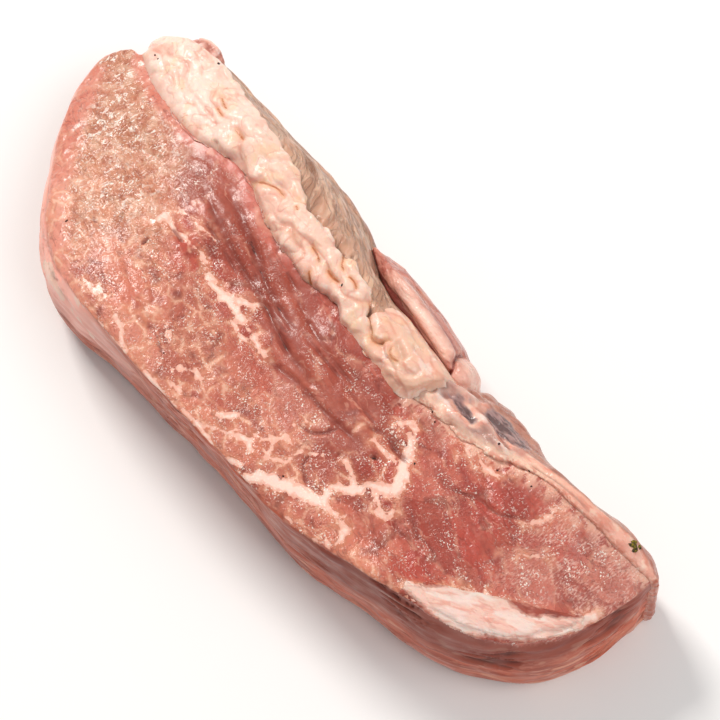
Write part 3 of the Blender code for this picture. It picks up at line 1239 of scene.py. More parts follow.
# The strip of fat that was parted at the front edge, seen from above.
STRIP = Vein(((66, -20.6), (70, -19.4), (74, -16.6), (77, -15), (80, -12), (84, -9.5), (88.5, -6.5),
              (92.7, -1), (95, 3), (95.5, 7)),
             (0.5, 1.6, 3.4, 4.4, 4.2, 3.0, 1.9, 1.8, 1.2, 0.4))


@dataclass
class Piece:
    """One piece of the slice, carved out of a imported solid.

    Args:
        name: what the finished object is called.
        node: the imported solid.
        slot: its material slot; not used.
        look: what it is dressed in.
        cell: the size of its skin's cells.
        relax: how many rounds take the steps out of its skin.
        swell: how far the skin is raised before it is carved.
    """

    name: str
    node: str
    slot: Slot
    look: Finish
    cell: float
    relax: int
    swell: float = 0.0

    def build(self) -> bpy.types.Object:
        """Carve the piece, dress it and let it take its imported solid's place.

        Returns:
            The object.
        """
        clay = Clay(self.node, self.cell, self.relax)
        clay.lift(np.full(len(clay.spots), self.swell))
        self.carve(clay)
        mesh = clay.finish()
        mesh.name = self.name
        piece = ride_along(self.name, mesh, self.look.make())
        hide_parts(self.node)
        return piece

    def carve(self, clay: Clay) -> None:
        """Carve the skin and work out its layers; each piece has its own way.

        Args:
            clay: the piece, with nothing carved yet.
        """
        raise NotImplementedError


@dataclass
class Muscle(Piece):
    """The muscle, with its cut face, its sides and both ends."""

    name: str = "muscle"
    node: str = "lean"
    slot: Slot = Slot.LEAN
    look: Finish = CutMuscle()
    cell: float = 0.54
    relax: int = 13
    swell: float = 0.12

    GROOVES: ClassVar[tuple[Stroke, ...]] = Stroke.several(
        (((-38.7, 10.6), (-31, 8.4), (-22.7, 5.6), (-15, 2.6), (-5, 0), (2.6, -1.2)), 1.5, -0.7),
        (((-30, 7.8), (-22.5, 5.4), (-14, 2.2), (-6, -0.2)), 0.5, -0.55),
        (((-45, 7), (-36, 4.5), (-24, 1), (-10, -1.5), (4, -5), (18, -6)), 1.3, -0.6),
        (((-3, -8.6), (4.6, -9.2), (13, -8.2), (22, -8.2), (30, -7.6), (36, -6.8)), 1.0, -0.45),
        (((-8.6, 5.8), (0, 3.5), (8.7, 1.6), (18, 0.8), (25.7, 0.4)), 0.8, -0.45),
        (((2, 0.2), (14, -0.2), (23, -1), (30.6, -1.5), (36.7, -1.9)), 0.6, -0.45),
        (((30.5, -3.5), (35.3, -1.6), (39.3, -2), (44.6, -2)), 0.9, -0.7),
        (((-37, 0.9), (-31, 0.7), (-24, -0.6), (-18, -1.9)), 0.7, -0.4),
        (((-22, 3.2), (-14, 0.6), (-6, -1.6), (3, -3)), 0.5, -0.4),
        (((-28, 12.5), (-20, 10), (-12, 7.5), (-4, 5.5)), 0.8, -0.35),
    )
    CRACKS: ClassVar[tuple[Stroke, ...]] = Stroke.several(
        (((20, -14.5), (24.3, -13), (26.7, -9.1), (25.9, -6.1)), 0.5, -0.8),
        (((27.4, -16.6), (28.2, -19), (29.3, -20.4), (33.2, -22.3)), 0.5, -0.8),
        (((50.6, 0.2), (55.6, 1.7), (61, 4.4), (66.6, 5.4), (71.7, 9.6)), 0.5, -0.6),
        (((-56, -17.6), (-53.2, -18.2)), 0.4, -0.6),
        (((-49.2, -14.8), (-50.6, -12.2)), 0.4, -0.6),
        (((-40.7, -13.8), (-41.1, -11.3)), 0.5, -0.9),
        (((-39.1, -5.6), (-34.4, -6.0)), 0.5, -0.8),
        (((-17.4, -26.2), (-14.3, -27.2)), 0.5, -0.8),
        (((37.2, -7.2), (38.8, -6.6)), 0.6, -1.2),
    )
    VEINS: ClassVar[tuple[Vein, ...]] = Vein.several(
        (((22.6, -32), (24.8, -28.6), (28.8, -26.8), (33.1, -24.6), (36, -23.4), (38.6, -22.3)),
         (1.0, 1.5, 1.7, 1.6, 1.4, 1.2)),
        (((38.6, -22.3), (36.8, -18.4), (38.9, -16.6), (41.1, -15.1), (41.7, -13), (42.6, -11.3),
          (45.3, -10.1), (47.1, -8.7)), (1.0, 0.7, 0.8, 1.1, 0.8, 1.0, 1.3)),
        (((47.1, -8.7), (46.4, -6.4), (45.3, -4.6), (44, -4.1), (42.5, -0.8), (40.6, 1.3),
          (38.5, 4.2), (36.8, 4.4), (35.3, 2.7)), (1.4, 1.7, 1.3, 1.0, 0.9, 0.9, 0.4)),
        (((38.6, -22.3), (42, -22), (45, -21.5), (47.3, -22.5), (48.3, -25), (48.3, -26.9),
          (46.2, -27.5)), (0.9, 0.4, 0.5, 0.8, 0.8, 0.5, 0.2)),
        (((41.1, -15.1), (38.7, -13.9), (36.6, -12.8), (34.4, -12.4), (33.6, -13.3)),
         (0.9, 0.6, 0.4, 0.6, 0.2)),
        (((42.6, -11.3), (42.6, -9), (41.5, -6.9), (42.1, -4)), (0.2, 0.0, 0.0, 0.2)),
        (((29.3, -4.8), (33.6, -4.5), (38.6, -4.3), (42.1, -4)), (-0.2, 0.1, 0.4, 0.4)),
        (((43.1, -11.8), (46.2, -12.6), (48.3, -13.7), (50.3, -13.6), (50.5, -12.1)),
         (0.2, 0.4, 0.7, 1.1, 0.4)),
        (((12.1, -27.2), (14, -26.4), (15.9, -25.6), (18.2, -26.8), (20.3, -25), (22, -24.1)),
         (0.2, 0.6, 0.8, 0.6, 0.3, 0.2)),
        (((22, -24.1), (19.8, -20.7), (17.1, -20.9)), (0.2, 0.3, 0.0)),
        (((6.8, -30.8), (11.1, -28.4), (13, -24.3), (17.9, -23.2), (20.6, -18.8), (25.8, -18.5)),
         (0.1, 0.2, 0.0, 0.2, 0.1, 0.1)),
        (((21.1, -25.6), (25.6, -22.6), (25.8, -18.5), (29.6, -15.2)), (0.3, 0.1, 0.1, 0.0)),
        (((20.6, -18.8), (19, -16.1), (21, -11.8)), (0.1, 0.1, -0.1)),
        (((-44.1, -9.7), (-43, -6.9), (-43.2, -4.8), (-40.5, -5.3), (-36.9, -5.3), (-33.8, -4.7),
          (-30, -4.5), (-26.2, -5.3), (-22.3, -6.8)), (0.3, 0.8, 0.6, 0.3, 0.3, 0.5, 0.7)),
        (((-22.9, -7.2), (-19.1, -7.5), (-15.7, -7.1), (-12.1, -7.3), (-8.6, -8.2), (-5, -8.4),
          (-0.5, -9.3), (1.4, -9.3)), (0.5, 0.9, 1.2, 0.9, 0.7, 0.6, 0.3)),
        (((-15.7, -7.1), (-13.3, -5.5), (-10.8, -3.8), (-9.3, -2)), (1.2, 0.6, 0.1)),
        (((-18.8, -8), (-14.1, -8.9), (-9.8, -9.8), (-5.7, -10.6), (-2, -10)), (0.2, 0.3, 0.3)),
        (((-38, -1.1), (-34, -0.5), (-29.6, 0.1)), (-0.2, 0.1, -0.2)),
        (((-44.8, -1.1), (-38.3, -1.1)), (-0.2, 0.1, -0.2)),
        (((6.3, -26.5), (7.9, -26.2), (8.6, -24.8), (9.1, -23.3)), (0.4, 0.8, 0.7, 0.3)),
        (((16.3, -31.9), (18.6, -31.1), (19.9, -29.9)), (0.3, 0.8, 0.4)),
        (((-9.3, -27.8), (-9, -26.6), (-7.3, -25.3), (-5.3, -24.3), (-3.5, -24.2)),
         (0.4, 0.7, 0.6, 0.7, 0.4)),
        (((-7.1, -30), (-4.4, -30), (-3.8, -29.6)), (0.4, 0.5, 0.2)),
        (((-28.5, -29.6), (-26.4, -30.3), (-23.8, -31.9), (-21.7, -33.2)), (0.6, 0.6, 0.4, 0.3)),
        (((-19.3, -22), (-17.3, -23.2), (-15.7, -24.1)), (0.2, 0.5, 0.2)),
        (((-17.9, -21), (-17.3, -23.2)), (0.1, 0.4)),
        (((-41.5, -29.3), (-37.2, -29.7), (-38.2, -27.9), (-34.9, -28.4)), (0.3, 0.6, 0.3)),
        (((-40.6, -35), (-37.8, -34.6), (-34.4, -34.4), (-24.7, -34), (-20.1, -33.4)),
         (0.2, 0.5, 0.7, 0.4, 0.3)),
        (((-13.1, -33.2), (-5.5, -33.9), (-2.6, -33.8), (-0.1, -33.2)), (0.4, 0.9, 0.8, 0.3)),
        (((0, -32.4), (4.7, -31.8), (12, -32.6), (18.4, -33), (22.9, -32.2)), (0.2, 0.6, 0.3, 0.6)),
        (((46.6, 11.3), (50.4, 9.9), (49.6, 7.4)), (0.5, 0.5, 0.0)),
        (((52.4, 9.9), (55.5, 10.5), (59, 10.7), (61.1, 13.5)), (0.1, 0.3, 0.1)),
        (((71.7, 8.5), (74, 12), (73.4, 16)), (0.0, 0.5, 0.1)),
        (((75.9, 3.1), (80.2, 6.8), (79.1, 4.4)), (-0.2, 0.2, -0.2)),
        (((48.3, -27), (44, -29.5), (40.5, -30.5), (35.5, -30.6)), (0.3, 0.1, 0.1)),
        (((-57.5, -33, 22), (-52, -34.5, 26), (-46.5, -35.5, 24.5)), (1.6, 2.4, 1.2)),
        (((-42, -35, 24), (-38, -35, 23), (-34, -35, 20)), (0.4, 0.8, 0.4)),
        (((-41, -33.5, 30), (-37, -34, 31)), (0.5, 0.9, 0.4)),
    )
    # The upper middle of the wide end, the dull band under the cap, and the smooth outer edge.
    WIDE: ClassVar[tuple] = ((-90, 15), (-80, 4), (-62, -8))
    DULL: ClassVar[tuple] = ((-52, 14), (-20, 5), (8, -2), (32, -6))
    EDGE: ClassVar[tuple] = ((-94.7, 7.3), (-84.5, -4.2), (-76.4, -13.4), (-67, -21.9), (-57.8, -28.9),
                             (-48.4, -34), (-42, -35.5))

    def carve(self, clay: Clay) -> None:
        """Carve the cut face and the sides, and close the gaps to the neighbours.

        Args:
            clay: the piece, with nothing carved yet.
        """
        x, y, z = clay.spots.T
        face = ease(clay.normals[:, 2], 0.5, 0.85) * ease(z, 12, 18)
        clay.soften(ease(y, 0, -12) * ease(x, 62, 52) * ease(z, 12, 18), 50)
        self.mark(clay, face)
        self.carve_face(clay, face)
        self.carve_side(clay, 1 - face)
        clay.meet(("fat_cap", "seam_fat", "corner_lean"), 1.8)
        clay.fill_seam(clay.towards("seam_fat", 3.0)[1])
        beside_rim = clay.towards("rim_fat", 4.0)[1]
        clay.shift((0.35, 1, 0), 1.3 * bell(beside_rim, 1.3))
        clay.fill_seam(beside_rim, 0.5)

    def mark(self, clay: Clay, face: Array) -> None:
        """Work out the layers that the finish reads.

        Args:
            clay: the piece.
            face: 1 on the cut face and 0 on the sides.
        """
        spots = clay.spots
        x, y, z = spots.T
        far = 6.0
        off_face = 4 * (1 - face)
        seam = STRIP.outside(spots, far) - 0.6 + off_face
        for vein in self.VEINS:
            on_top = len(vein.points[0]) == 2
            seam = np.minimum(seam, vein.outside(spots, far) + (off_face if on_top else 0))
        from_wide, from_dull, from_edge = (near_line(spots, smooth_line(line))[0]
                                           for line in (self.WIDE, self.DULL, self.EDGE))
        wide = ease(from_wide + 9 * noise(spots, 14, 31, 2), 27, 10)
        below = ease(y + 0.10 * x, -8, -20)
        from_cap = clay.towards("fat_cap", 8.0)[1]
        smooth = np.maximum(ease(from_edge + 1.5 * noise(spots, 5, 37, 2), 6.0, 2.0),
                            ease(from_cap + 1.5 * noise(spots, 6, 38, 2), 4.5, 1.5))
        tip = ease(x + 0.5 * y + 8 * noise(spots, 12, 55, 2), 70, 86)
        # How many painted glints and how much fine relief each place gets: most at both ends.
        shine = np.clip(0.42 + 0.4 * wide + 0.3 * tip + 0.9 * noise(spots, 9, 33, 2), 0, 1)
        # Painted light on the side at the wide end, which faces the key lamp.
        lit_wall = ease(x, -12, -44) * ease(z + 3 * noise(spots, 9, 39), 10, 20)
        clay.layers.update({
            Layer.SEAM: np.minimum(seam, far),
            Layer.RIM: ease(clay.towards("rim_fat", 6.0)[1] + 2 * noise(spots, 3, 36), 4.5, 0.5) * face,
            Layer.BLUSH_AND_LIGHT: np.maximum(smooth * face * ease(x, 0, -20), lit_wall * (1 - face)),
            Layer.DUSK: ease(from_dull + 4 * noise(spots, 9, 40, 2), 12, 4),
            Layer.TIP: tip,
            Layer.FACE: ease(face + 0.25 * noise(spots, 2.5, 5, 2), 0.3, 0.7),
            Layer.WIDE: wide,
            Layer.GLINT: shine * (1 - 0.85 * smooth),
            Layer.NET: below * ease(noise(spots, 11, 34), -0.8, 0.0),
            # Painted shade along the upper part of the side towards the narrow end.
            Layer.MARKS_AND_LIGHT: ease(x, 15, 55) * ease(z + 4 * noise(spots, 12, 35), 14, 22),
            Layer.FLOW: rolled_out(round_the_side(spots), z) * MM,
        })

    def carve_face(self, clay: Clay, face: Array) -> None:
        """Carve grooves, cracks, bundles and grit into the cut face.

        Args:
            clay: the piece.
            face: 1 on the cut face and 0 on the sides.
        """
        spots = clay.first
        cos, sin = math.cos(GRAIN), math.sin(GRAIN)
        turned = spots @ np.array(((cos, sin, 0), (-sin, cos, 0), (0, 0, 1)))
        fat = ease(clay.layers[Layer.SEAM], 0.6, -0.4)
        edge, tone = cells(turned, (8.0, 4.0, 5.0), 43)
        fine = (0.06 * noise(spots, 2.2, 46) + 0.02 * noise(spots, 1.15, 47) + 0.10 * tone
                + clay.layers[Layer.WIDE] * (0.16 * noise(spots, 2.6, 49, 2) + 0.10 * noise(spots, 1.3, 50)))
        rise = 0.45 * noise(spots, 10, 44) + 0.16 * noise(spots, 5, 45) + (1 - 0.8 * fat) * fine
        clay.lift((rise + 0.05 * fat - 0.15) * face)
        crease = 0.3 * ease(noise(spots, 24, 42), 0.0, 0.4) * bell(noise(turned, (26, 6, 12), 41, 2), 0.08)
        crease += 0.12 * bell(edge, 0.12) * (1 - fat)
        groove = 0.95 * cut_depth(self.GROOVES, spots) * (1 + 0.5 * noise(spots, 3.5, 48))
        core = np.max([bell(stroke.away(spots, 3.0), 0.5) for stroke in self.GROOVES], axis=0)
        torn = ease(noise(spots, 5, 56, 2), -0.15, 0.2)
        crack = cut_depth(self.CRACKS, spots) * (1 + 0.4 * noise(spots, 1.5, 48))
        clay.crease(np.maximum(np.maximum(crease, groove) + 0.45 * (core * torn), crack) * face)

    def carve_side(self, clay: Clay, side: Array) -> None:
        """Carve the layered skin of the sides.

        Args:
            clay: the piece.
            side: 1 on the sides and 0 on the cut face.
        """
        spots = clay.first
        flow = rolled_out(round_the_side(spots), spots[:, 2])
        off_board = above_board(spots[:, 2])
        rise = 0.55 * noise(flow, (22, 1, 3.0), 51, 2) + 0.5 * noise(spots, 8, 52) - 0.35
        clay.lift(rise * side * off_board)
        slit = noise(flow, (26, 1, 2.4), 53, 2)
        clay.crease(0.7 * bell(slit, 0.10) * ease(noise(spots, 16, 54), -0.05, 0.3) * side * off_board)


@dataclass
class FatCap(Piece):
    """The thick fat along the back, with its scalloped lips and its flank."""

    name: str = "fat_cap_piece"
    node: str = "fat_cap"
    slot: Slot = Slot.CREAM
    look: Finish = CreamFat()
    cell: float = 0.38
    relax: int = 11
    swell: float = 0.15

    # The outer lip of the cream fat, seen from above.
    RIM: ClassVar[tuple] = ((-90, 33), (-70, 32.2), (-61.7, 31.4), (-53, 30), (-45, 28.2), (-37, 26.8),
                            (-29.3, 25.4), (-26.5, 23.6), (-20.6, 20.9), (-16.5, 20), (-12.8, 20.6),
                            (-9, 20.4), (-4, 19), (-2, 20.4), (1.6, 18.2), (3.3, 19), (6.5, 18),
                            (9.5, 15.6), (10.4, 13.4), (40, 6))
    CREASES: ClassVar[tuple[Stroke, ...]] = Stroke.several(
        (((-61.6, 25.9), (-58.3, 24.5), (-55.4, 23.6)), 0.6, -0.7),
        (((-59.4, 22.8), (-57.1, 22.3), (-54.8, 21.8)), 0.55, -0.6),
        (((-51, 22), (-48, 21.4), (-45, 21)), 0.9, -0.7),
        (((-37, 16.5), (-32, 18), (-29, 19), (-25, 18)), 0.9, -0.9),
        (((-22.8, 19), (-20.4, 18.3)), 0.6, -0.6),
        (((-13, 15.2), (-9.6, 14.7), (-6.4, 13.5)), 0.9, -1.1),
        (((-8, 12.2), (-6.4, 11.4), (-4.4, 10.4)), 0.5, -0.6),
        (((-5.6, 14.6), (-3.6, 13.9), (-1.4, 13.9), (0.8, 14.2)), 0.5, -0.8),
        (((-0.6, 15.6), (1.0, 16.5), (3.4, 16.2), (5, 15)), 0.5, -0.9),
        (((-9.3, 20.4), (-5, 19.4), (-2.7, 17), (0.6, 16.6)), 0.9, -0.9),
        (((7, 17), (10, 15), (13, 12.6), (14.8, 11.2)), 0.9, -1.2),
        (((11, 12.9), (13.7, 12.2), (15.4, 10.8), (17.6, 11.2), (18.8, 13.2), (20.6, 14)), 0.6, -0.7),
        (((20.6, 14), (21, 12), (22.4, 11), (24.4, 11.4), (25, 12.6)), 0.6, -0.6),
    )
    # Softer valleys, without a dark core.
    VALLEYS: ClassVar[tuple[Stroke, ...]] = Stroke.several(
        (((-3, 16.9), (-1, 15.2), (0.8, 14.2)), 0.6, -0.5),
        (((23.2, 12.6), (26, 10.9), (29.4, 11.6), (29.8, 15)), 0.8, -0.5),
        (((-42, 25), (-36, 24), (-30, 23), (-25, 20.5)), 0.7, -0.4),
        (((-72, 22), (-66, 20), (-60, 18)), 0.9, -0.3),
        (((-24, 15), (-19, 17), (-15, 17.5)), 0.7, -0.4),
        (((20, 14.3), (22.4, 13.4), (25.4, 12.2)), 1.2, -0.9),
        (((13.4, 17), (17.6, 18.6), (22.6, 18.4), (27, 17.4)), 0.8, -0.6),
    )
    RIDGES: ClassVar[tuple[Stroke, ...]] = Stroke.several(
        (((12, 14.6), (15, 13.4), (16.4, 12.6), (17, 15.4), (18.8, 17), (20.8, 17.2)), 0.9, 1.5),
        (((20.8, 16.6), (23.8, 14.8), (25.4, 13.4), (28, 13.8), (29.4, 15.6)), 0.9, 1.3),
        (((14.2, 9.6), (19.6, 9.2), (24.7, 9.2), (29.5, 9.6)), 1.2, 0.7),
        (((26, 11.6), (29, 11.2), (31, 12.6)), 0.9, 0.9),
        (((3, 12.5), (6, 13.8), (9, 13)), 1.8, 0.7),
        (((-20, 18.6), (-14, 17.8), (-10, 17.6)), 2.0, 0.6),
        (((-12, 12.2), (-8, 9.8), (-4, 9.8)), 1.7, 0.8),
        (((-1.8, 18.8), (0.2, 19)), 1.5, 0.7),
    )
    LOBES: ClassVar[tuple] = ((-9.5, 21.8, 33.5, 2.6), (-15.5, 22, 33.5, 2.2))
    GAP: ClassVar[Stroke] = Stroke(((-84, 34), (-78, 32.6), (-73, 31.2), (-71, 30.6)), 1.3, -0.3)

    def carve(self, clay: Clay) -> None:
        """Carve the lobules, the folds, the lips and the flank.

        Args:
            clay: the piece, with nothing carved yet.
        """
        spots = clay.first
        x, y, z = spots.T
        _, back, up = clay.normals.T
        beyond = y - np.interp(x, *np.array(self.RIM).T) + 1.3 * noise(spots, (5, 30, 30), 60, 2)
        over = ease(z, 20, 24) * ease(up + back, 0.2, 0.6)
        flank = ease(beyond, -0.2, 0.5) * over + (1 - over) * ease(back, 0.3, 0.6)
        top = ease(up, 0.25, 0.6)
        cream = top * (1 - flank)
        folded = ease(x, -48, -18)
        block = ease(x, 12, 17)
        bent = spots + 1.6 * noises(spots, 6, 67)
        large = noise(bent, (14, 4.6, 8), 61)
        small = noise(bent, (4.6, 2.8, 4), 62)
        rise = ((1.4 + 0.5 * folded - 0.4 * block) * np.sqrt(np.abs(large) + 0.01)
                + (0.5 + 0.3 * folded) * np.sqrt(np.abs(small) + 0.01)
                + 0.4 * noise(spots, 9, 63) + 0.08 * noise(spots, 1.8, 64) - 0.2 * folded - 0.9)
        rise -= 0.5 * block
        for stroke in self.RIDGES:
            rise += (1 + 0.4 * block) * stroke.press(spots)
        clay.soften(ease(x, 10, 16), 22)
        clay.lift(0.8 * rise * cream)
        clay.lift(self.GAP.press(spots))
        folds = cut_depth(self.CREASES, spots) * (1 + 0.3 * noise(spots, 2, 66))
        line = np.min([stroke.away(spots, 3.0) for stroke in self.CREASES], axis=0)
        clay.crease(np.maximum(folds, cut_depth(self.VALLEYS, spots)) * top)
        for *middle, size in self.LOBES:
            clay.lift(0.9 * ease(np.linalg.norm(spots - middle, axis=1), size, 0.5 * size))
        lip = 0.5 + 1.3 * noise(spots, (5.0, 30, 30), 67, 2)
        inner = ease(-back, 0.2, 0.7) * ease(z, *UPPER_EDGE)
        clay.shift((0, -1, 0), np.clip(lip, -0.3, 1.6) * inner)
        clay.shift((0, -0.5, -1), 1.3 * ease(beyond, -0.3, 0.9) * over * ease(x, 18, 8))
        flow = rolled_out(x, z - 0.3 * x)
        self.carve_flank(clay, flank, flow)
        clay.layers[Layer.RIM] = clay.towards("lean", 4.0)[1]
        clay.meet(("lean", "rim_fat"), 1.6)
        clay.meet(("rim_fat",), 4.0, share=ease(x, 28, 31) * ease(z, *BELOW_TOP))
        block = ease(x + 3 * noise(spots, 4, 65, 2), 8, 16)
        end = ease(x + 3 * noise(spots, 6, 75, 2), -68, -76) * ease(z, 17, 25)
        dry = np.where(over > 0.5, beyond, 8 * (back - 0.45)) - 3 * end
        dry = (1 - block) * dry + block * 0.6 * (24 - z)
        clay.layers.update({
            Layer.FLANK: dry + 0.25 * noise(spots, 1.2, 70),
            Layer.BILLOW: np.stack([large, small, line], axis=1),
            # A mauve band towards the foot of the flank.
            Layer.MARKS_AND_LIGHT: ease(z + 3 * noise(spots, (9, 9, 4), 69), 24, 15) * flank,
            Layer.FLOW: flow * MM,
        })

    @staticmethod
    def carve_flank(clay: Clay, flank: Array, flow: Array) -> None:
        """Wrinkle the flank along its length.

        Args:
            clay: the piece.
            flank: 1 on the flank and 0 elsewhere.
            flow: places on the flank, rolled out flat.
        """
        spots = clay.first
        wrinkle = noise(flow, (12, 1, 2.0), 71, 2)
        rise = 0.45 * wrinkle + 0.3 * noise(spots, 8, 73) + 0.4 * ease(spots[:, 0], -72, -60)
        shown = flank * above_board(spots[:, 2])
        clay.lift(rise * shown)
        clay.crease(0.5 * bell(wrinkle, 0.07) * ease(noise(spots, 7, 74), 0.0, 0.4) * shown)


@dataclass
class ThinRim(Piece):
    """The thin fat and membrane from the block to the narrow end."""

    name: str = "thin_rim_piece"
    node: str = "rim_fat"
    slot: Slot = Slot.PINK
    look: Finish = RimFat()
    cell: float = 0.4
    relax: int = 6
    swell: float = 0.2

    SLITS: ClassVar[tuple[Stroke, ...]] = Stroke.several(
        (((38, 17), (40, 16), (43, 15.4), (46, 15.2)), 0.7, -0.8),
        (((50, 18.5), (54, 17.6), (57, 16.8)), 0.6, -0.7),
        (((54.6, 18), (55.4, 16.4)), 0.5, -0.8),
        (((35, 12.5), (37, 14.5), (38, 17)), 0.5, -0.7),
        (((60, 18), (70, 20), (80, 21)), 0.5, -0.5),
    )
    SHEETS: ClassVar[tuple[Stroke, ...]] = Stroke.several(
        (((33, 14), (36, 17.5), (40, 18.6), (44, 20.4)), 0.9, 1.3),
        (((36, 10.4), (40, 12.4), (44, 12.8), (49, 13.6)), 1.3, 1.1),
        (((33, 10.5), (35.5, 12), (36.5, 14.4)), 0.9, 1.1),
        (((41, 13.6), (44, 14.2), (47, 16.4)), 0.8, 1.1),
        (((46, 17.4), (50, 16.4), (54, 15.8), (58, 17)), 0.9, 1.1),
        (((44, 22.4), (50, 24), (56, 23.4), (62, 22.6)), 1.0, 1.1),
    )
    DARK: ClassVar[tuple[Vein, ...]] = Vein.several(
        (((38.6, 16.4), (41, 16.3), (43.4, 15.5), (45.4, 15.4)), (0.6, 0.9, 0.8, 0.4)),
        (((46, 20), (49, 20.6), (52.5, 20.2), (56, 20.6), (58, 21)), (0.6, 1.9, 2.0, 1.2, 0.2)),
    )

    def carve(self, clay: Clay) -> None:
        """Carve the folded sheets and the wall, and close the gaps to the neighbours.

        Args:
            clay: the piece, with nothing carved yet.
        """
        spots = clay.first
        x, _, z = spots.T
        right, back, up = clay.normals.T
        shown = above_board(z)
        folded = ease(x, 66, 52)
        fold = noise(spots + 2.0 * noises(spots, 5, 88), (7.0, 3.0, 4.0), 81)
        rise = folded * (0.9 * np.abs(fold) + 0.35 * noise(spots, (4.0, 2.0, 2.4), 86) - 0.2)
        for stroke in self.SHEETS:
            rise += stroke.press(spots)
        rise += 0.25 * noise(spots, (9, 2.4, 2.4), 82, 2) + 0.05 * noise(spots, 1.4, 83) - 0.3
        rise += ease(back, 0.4, 0.8) * (0.6 * noise(spots, (14, 4, 2.8), 98, 2) + 0.5 * noise(spots, 8, 99))
        rise += 0.6 * ease(x, 62, 80)
        clay.lift(rise * shown)
        lip = 0.5 + 1.6 * noise(spots, (3.6, 30, 30), 97, 2)
        inner = ease(-back, 0.1, 0.6) * ease(z, *UPPER_EDGE)
        clay.shift((0, -1, 0), np.clip(lip, -0.2, 1.8) * inner * folded)
        depth = 0.35 * folded * bell(fold, 0.06) * ease(noise(spots, 6, 91), -0.2, 0.2)
        depth = np.maximum(depth, cut_depth(self.SLITS, spots))
        clay.crease(depth * shown * (0.3 + 0.7 * ease(up, 0.25, 0.6)))
        clay.layers[Layer.CAP] = clay.towards("lean", 6.0)[1] + 1.2 * noise(spots, 3.0, 95, 2)
        clay.meet(("side_flap",), 1.8)
        clay.meet(("fat_cap",), 4.0, share=ease(z, *BELOW_TOP))
        clay.fill_seam(clay.towards("lean", 3.0)[1], 0.5)
        dark = np.min([vein.outside(spots, 3.0) for vein in self.DARK], axis=0)
        outward = np.maximum(back, right) + 0.25 * noise(spots, 4, 85)
        clay.layers.update({
            Layer.MARKS_AND_LIGHT: ease(dark + 1.3 * noise(spots, (3.0, 1.1, 1.6), 84, 3), 1.1, -0.7),
            Layer.FLANK: ease(outward, 0.45, 0.75),
            Layer.RIM: folded * ease(noise(spots, 5, 87), -0.25, 0.15),
            Layer.BLUSH_AND_LIGHT: folded * ease(np.abs(fold), 0.30, 0.5),
        })


@dataclass
class SideFlap(Piece):
    """The folded pink lip outside the fat cap."""

    name: str = "side_flap_piece"
    node: str = "side_flap"
    slot: Slot = Slot.FLAP
    look: Finish = PulledMeat()
    cell: float = 0.4
    relax: int = 12
    swell: float = 0.15

    # Its upper edge, as places along x and the heights there, and where a cleft parts off the knob.
    EDGE: ClassVar[tuple] = ((-6, 5, 27, 33), (24.3, 27.5, 26.0, 25.4))
    CLEFT: ClassVar[tuple] = (28.9, 24)
    RIDGE: ClassVar[tuple] = ((-4, 29), (5, 26.6), (12, 25.6), (20, 24.4), (27, 23.4))
    KNOB: ClassVar[tuple] = (33, 23.5, 22)
    VALLEY: ClassVar[Stroke] = Stroke(((6, 29.6), (12, 28.6), (18, 27.6), (25, 26.4), (29, 25)), 1.0, -0.6)

    def carve(self, clay: Clay) -> None:
        """Carve the ridge, the knob at its end and the clefts beside them.

        Args:
            clay: the piece, with nothing carved yet.
        """
        spots = clay.first
        x, y, z = spots.T
        shown = above_board(z, 0.5)
        below = np.interp(x, *self.EDGE) - z
        crest = ease(below, 7, 3)
        inner = ease(-clay.normals[:, 1], -0.3, 0.3) * ease(x, 31, 27)
        away, share = near_line(spots, smooth_line(self.RIDGE))
        ridge = bell(away, 1.5) * crest * ease(share, 0.0, 0.5)
        knob = ease(np.linalg.norm(spots - self.KNOB, axis=1), 6.5, 2.5)
        rise = 0.25 * noise(spots, (14, 2.2, 2.2), 91, 2) + 0.35 * noise(spots, 7, 92) + 0.3 - 0.6 * inner
        clay.lift((rise + 0.9 * ridge + 1.1 * knob) * shown)
        slit = noise(spots, (30, 2.4, 3.0), 93, 2)
        clay.crease(0.5 * bell(slit, 0.08) * ease(noise(spots, 12, 94), 0.0, 0.3) * shown * (1 - ridge))
        clay.crease(-self.VALLEY.press(spots) * crest)
        across = x - self.CLEFT[0] + 0.5 * (y - self.CLEFT[1]) + 0.8 * noise(spots, 3, 97)
        clay.crease(bell(across, 0.7) * crest)
        held = np.maximum(inner * ease(below, 0.8, 3.2), ease(x, 9, -3) * ease(below, -1, 2.5))
        clay.meet(("fat_cap",), 6.0, share=held)
        # Painted shade: the inner wall in the crevice by the fat cap is marked as a deep fold, though it is
        # not carved.
        clay.fold = np.maximum(clay.fold, 1.2 * inner * ease(below + 0.6 * noise(spots, 4, 96), 0.5, 1.8))
        # The pale crest and the knob, partly a painted highlight.
        pale = bell(away + 0.6 * noise(spots, 3, 98, 2), 1.4) * crest
        pale *= ease(share + 0.25 * noise(spots, 4, 95), 0.1, 0.5)
        clay.layers[Layer.MARKS_AND_LIGHT] = np.clip(pale + 0.8 * knob, 0, 1)


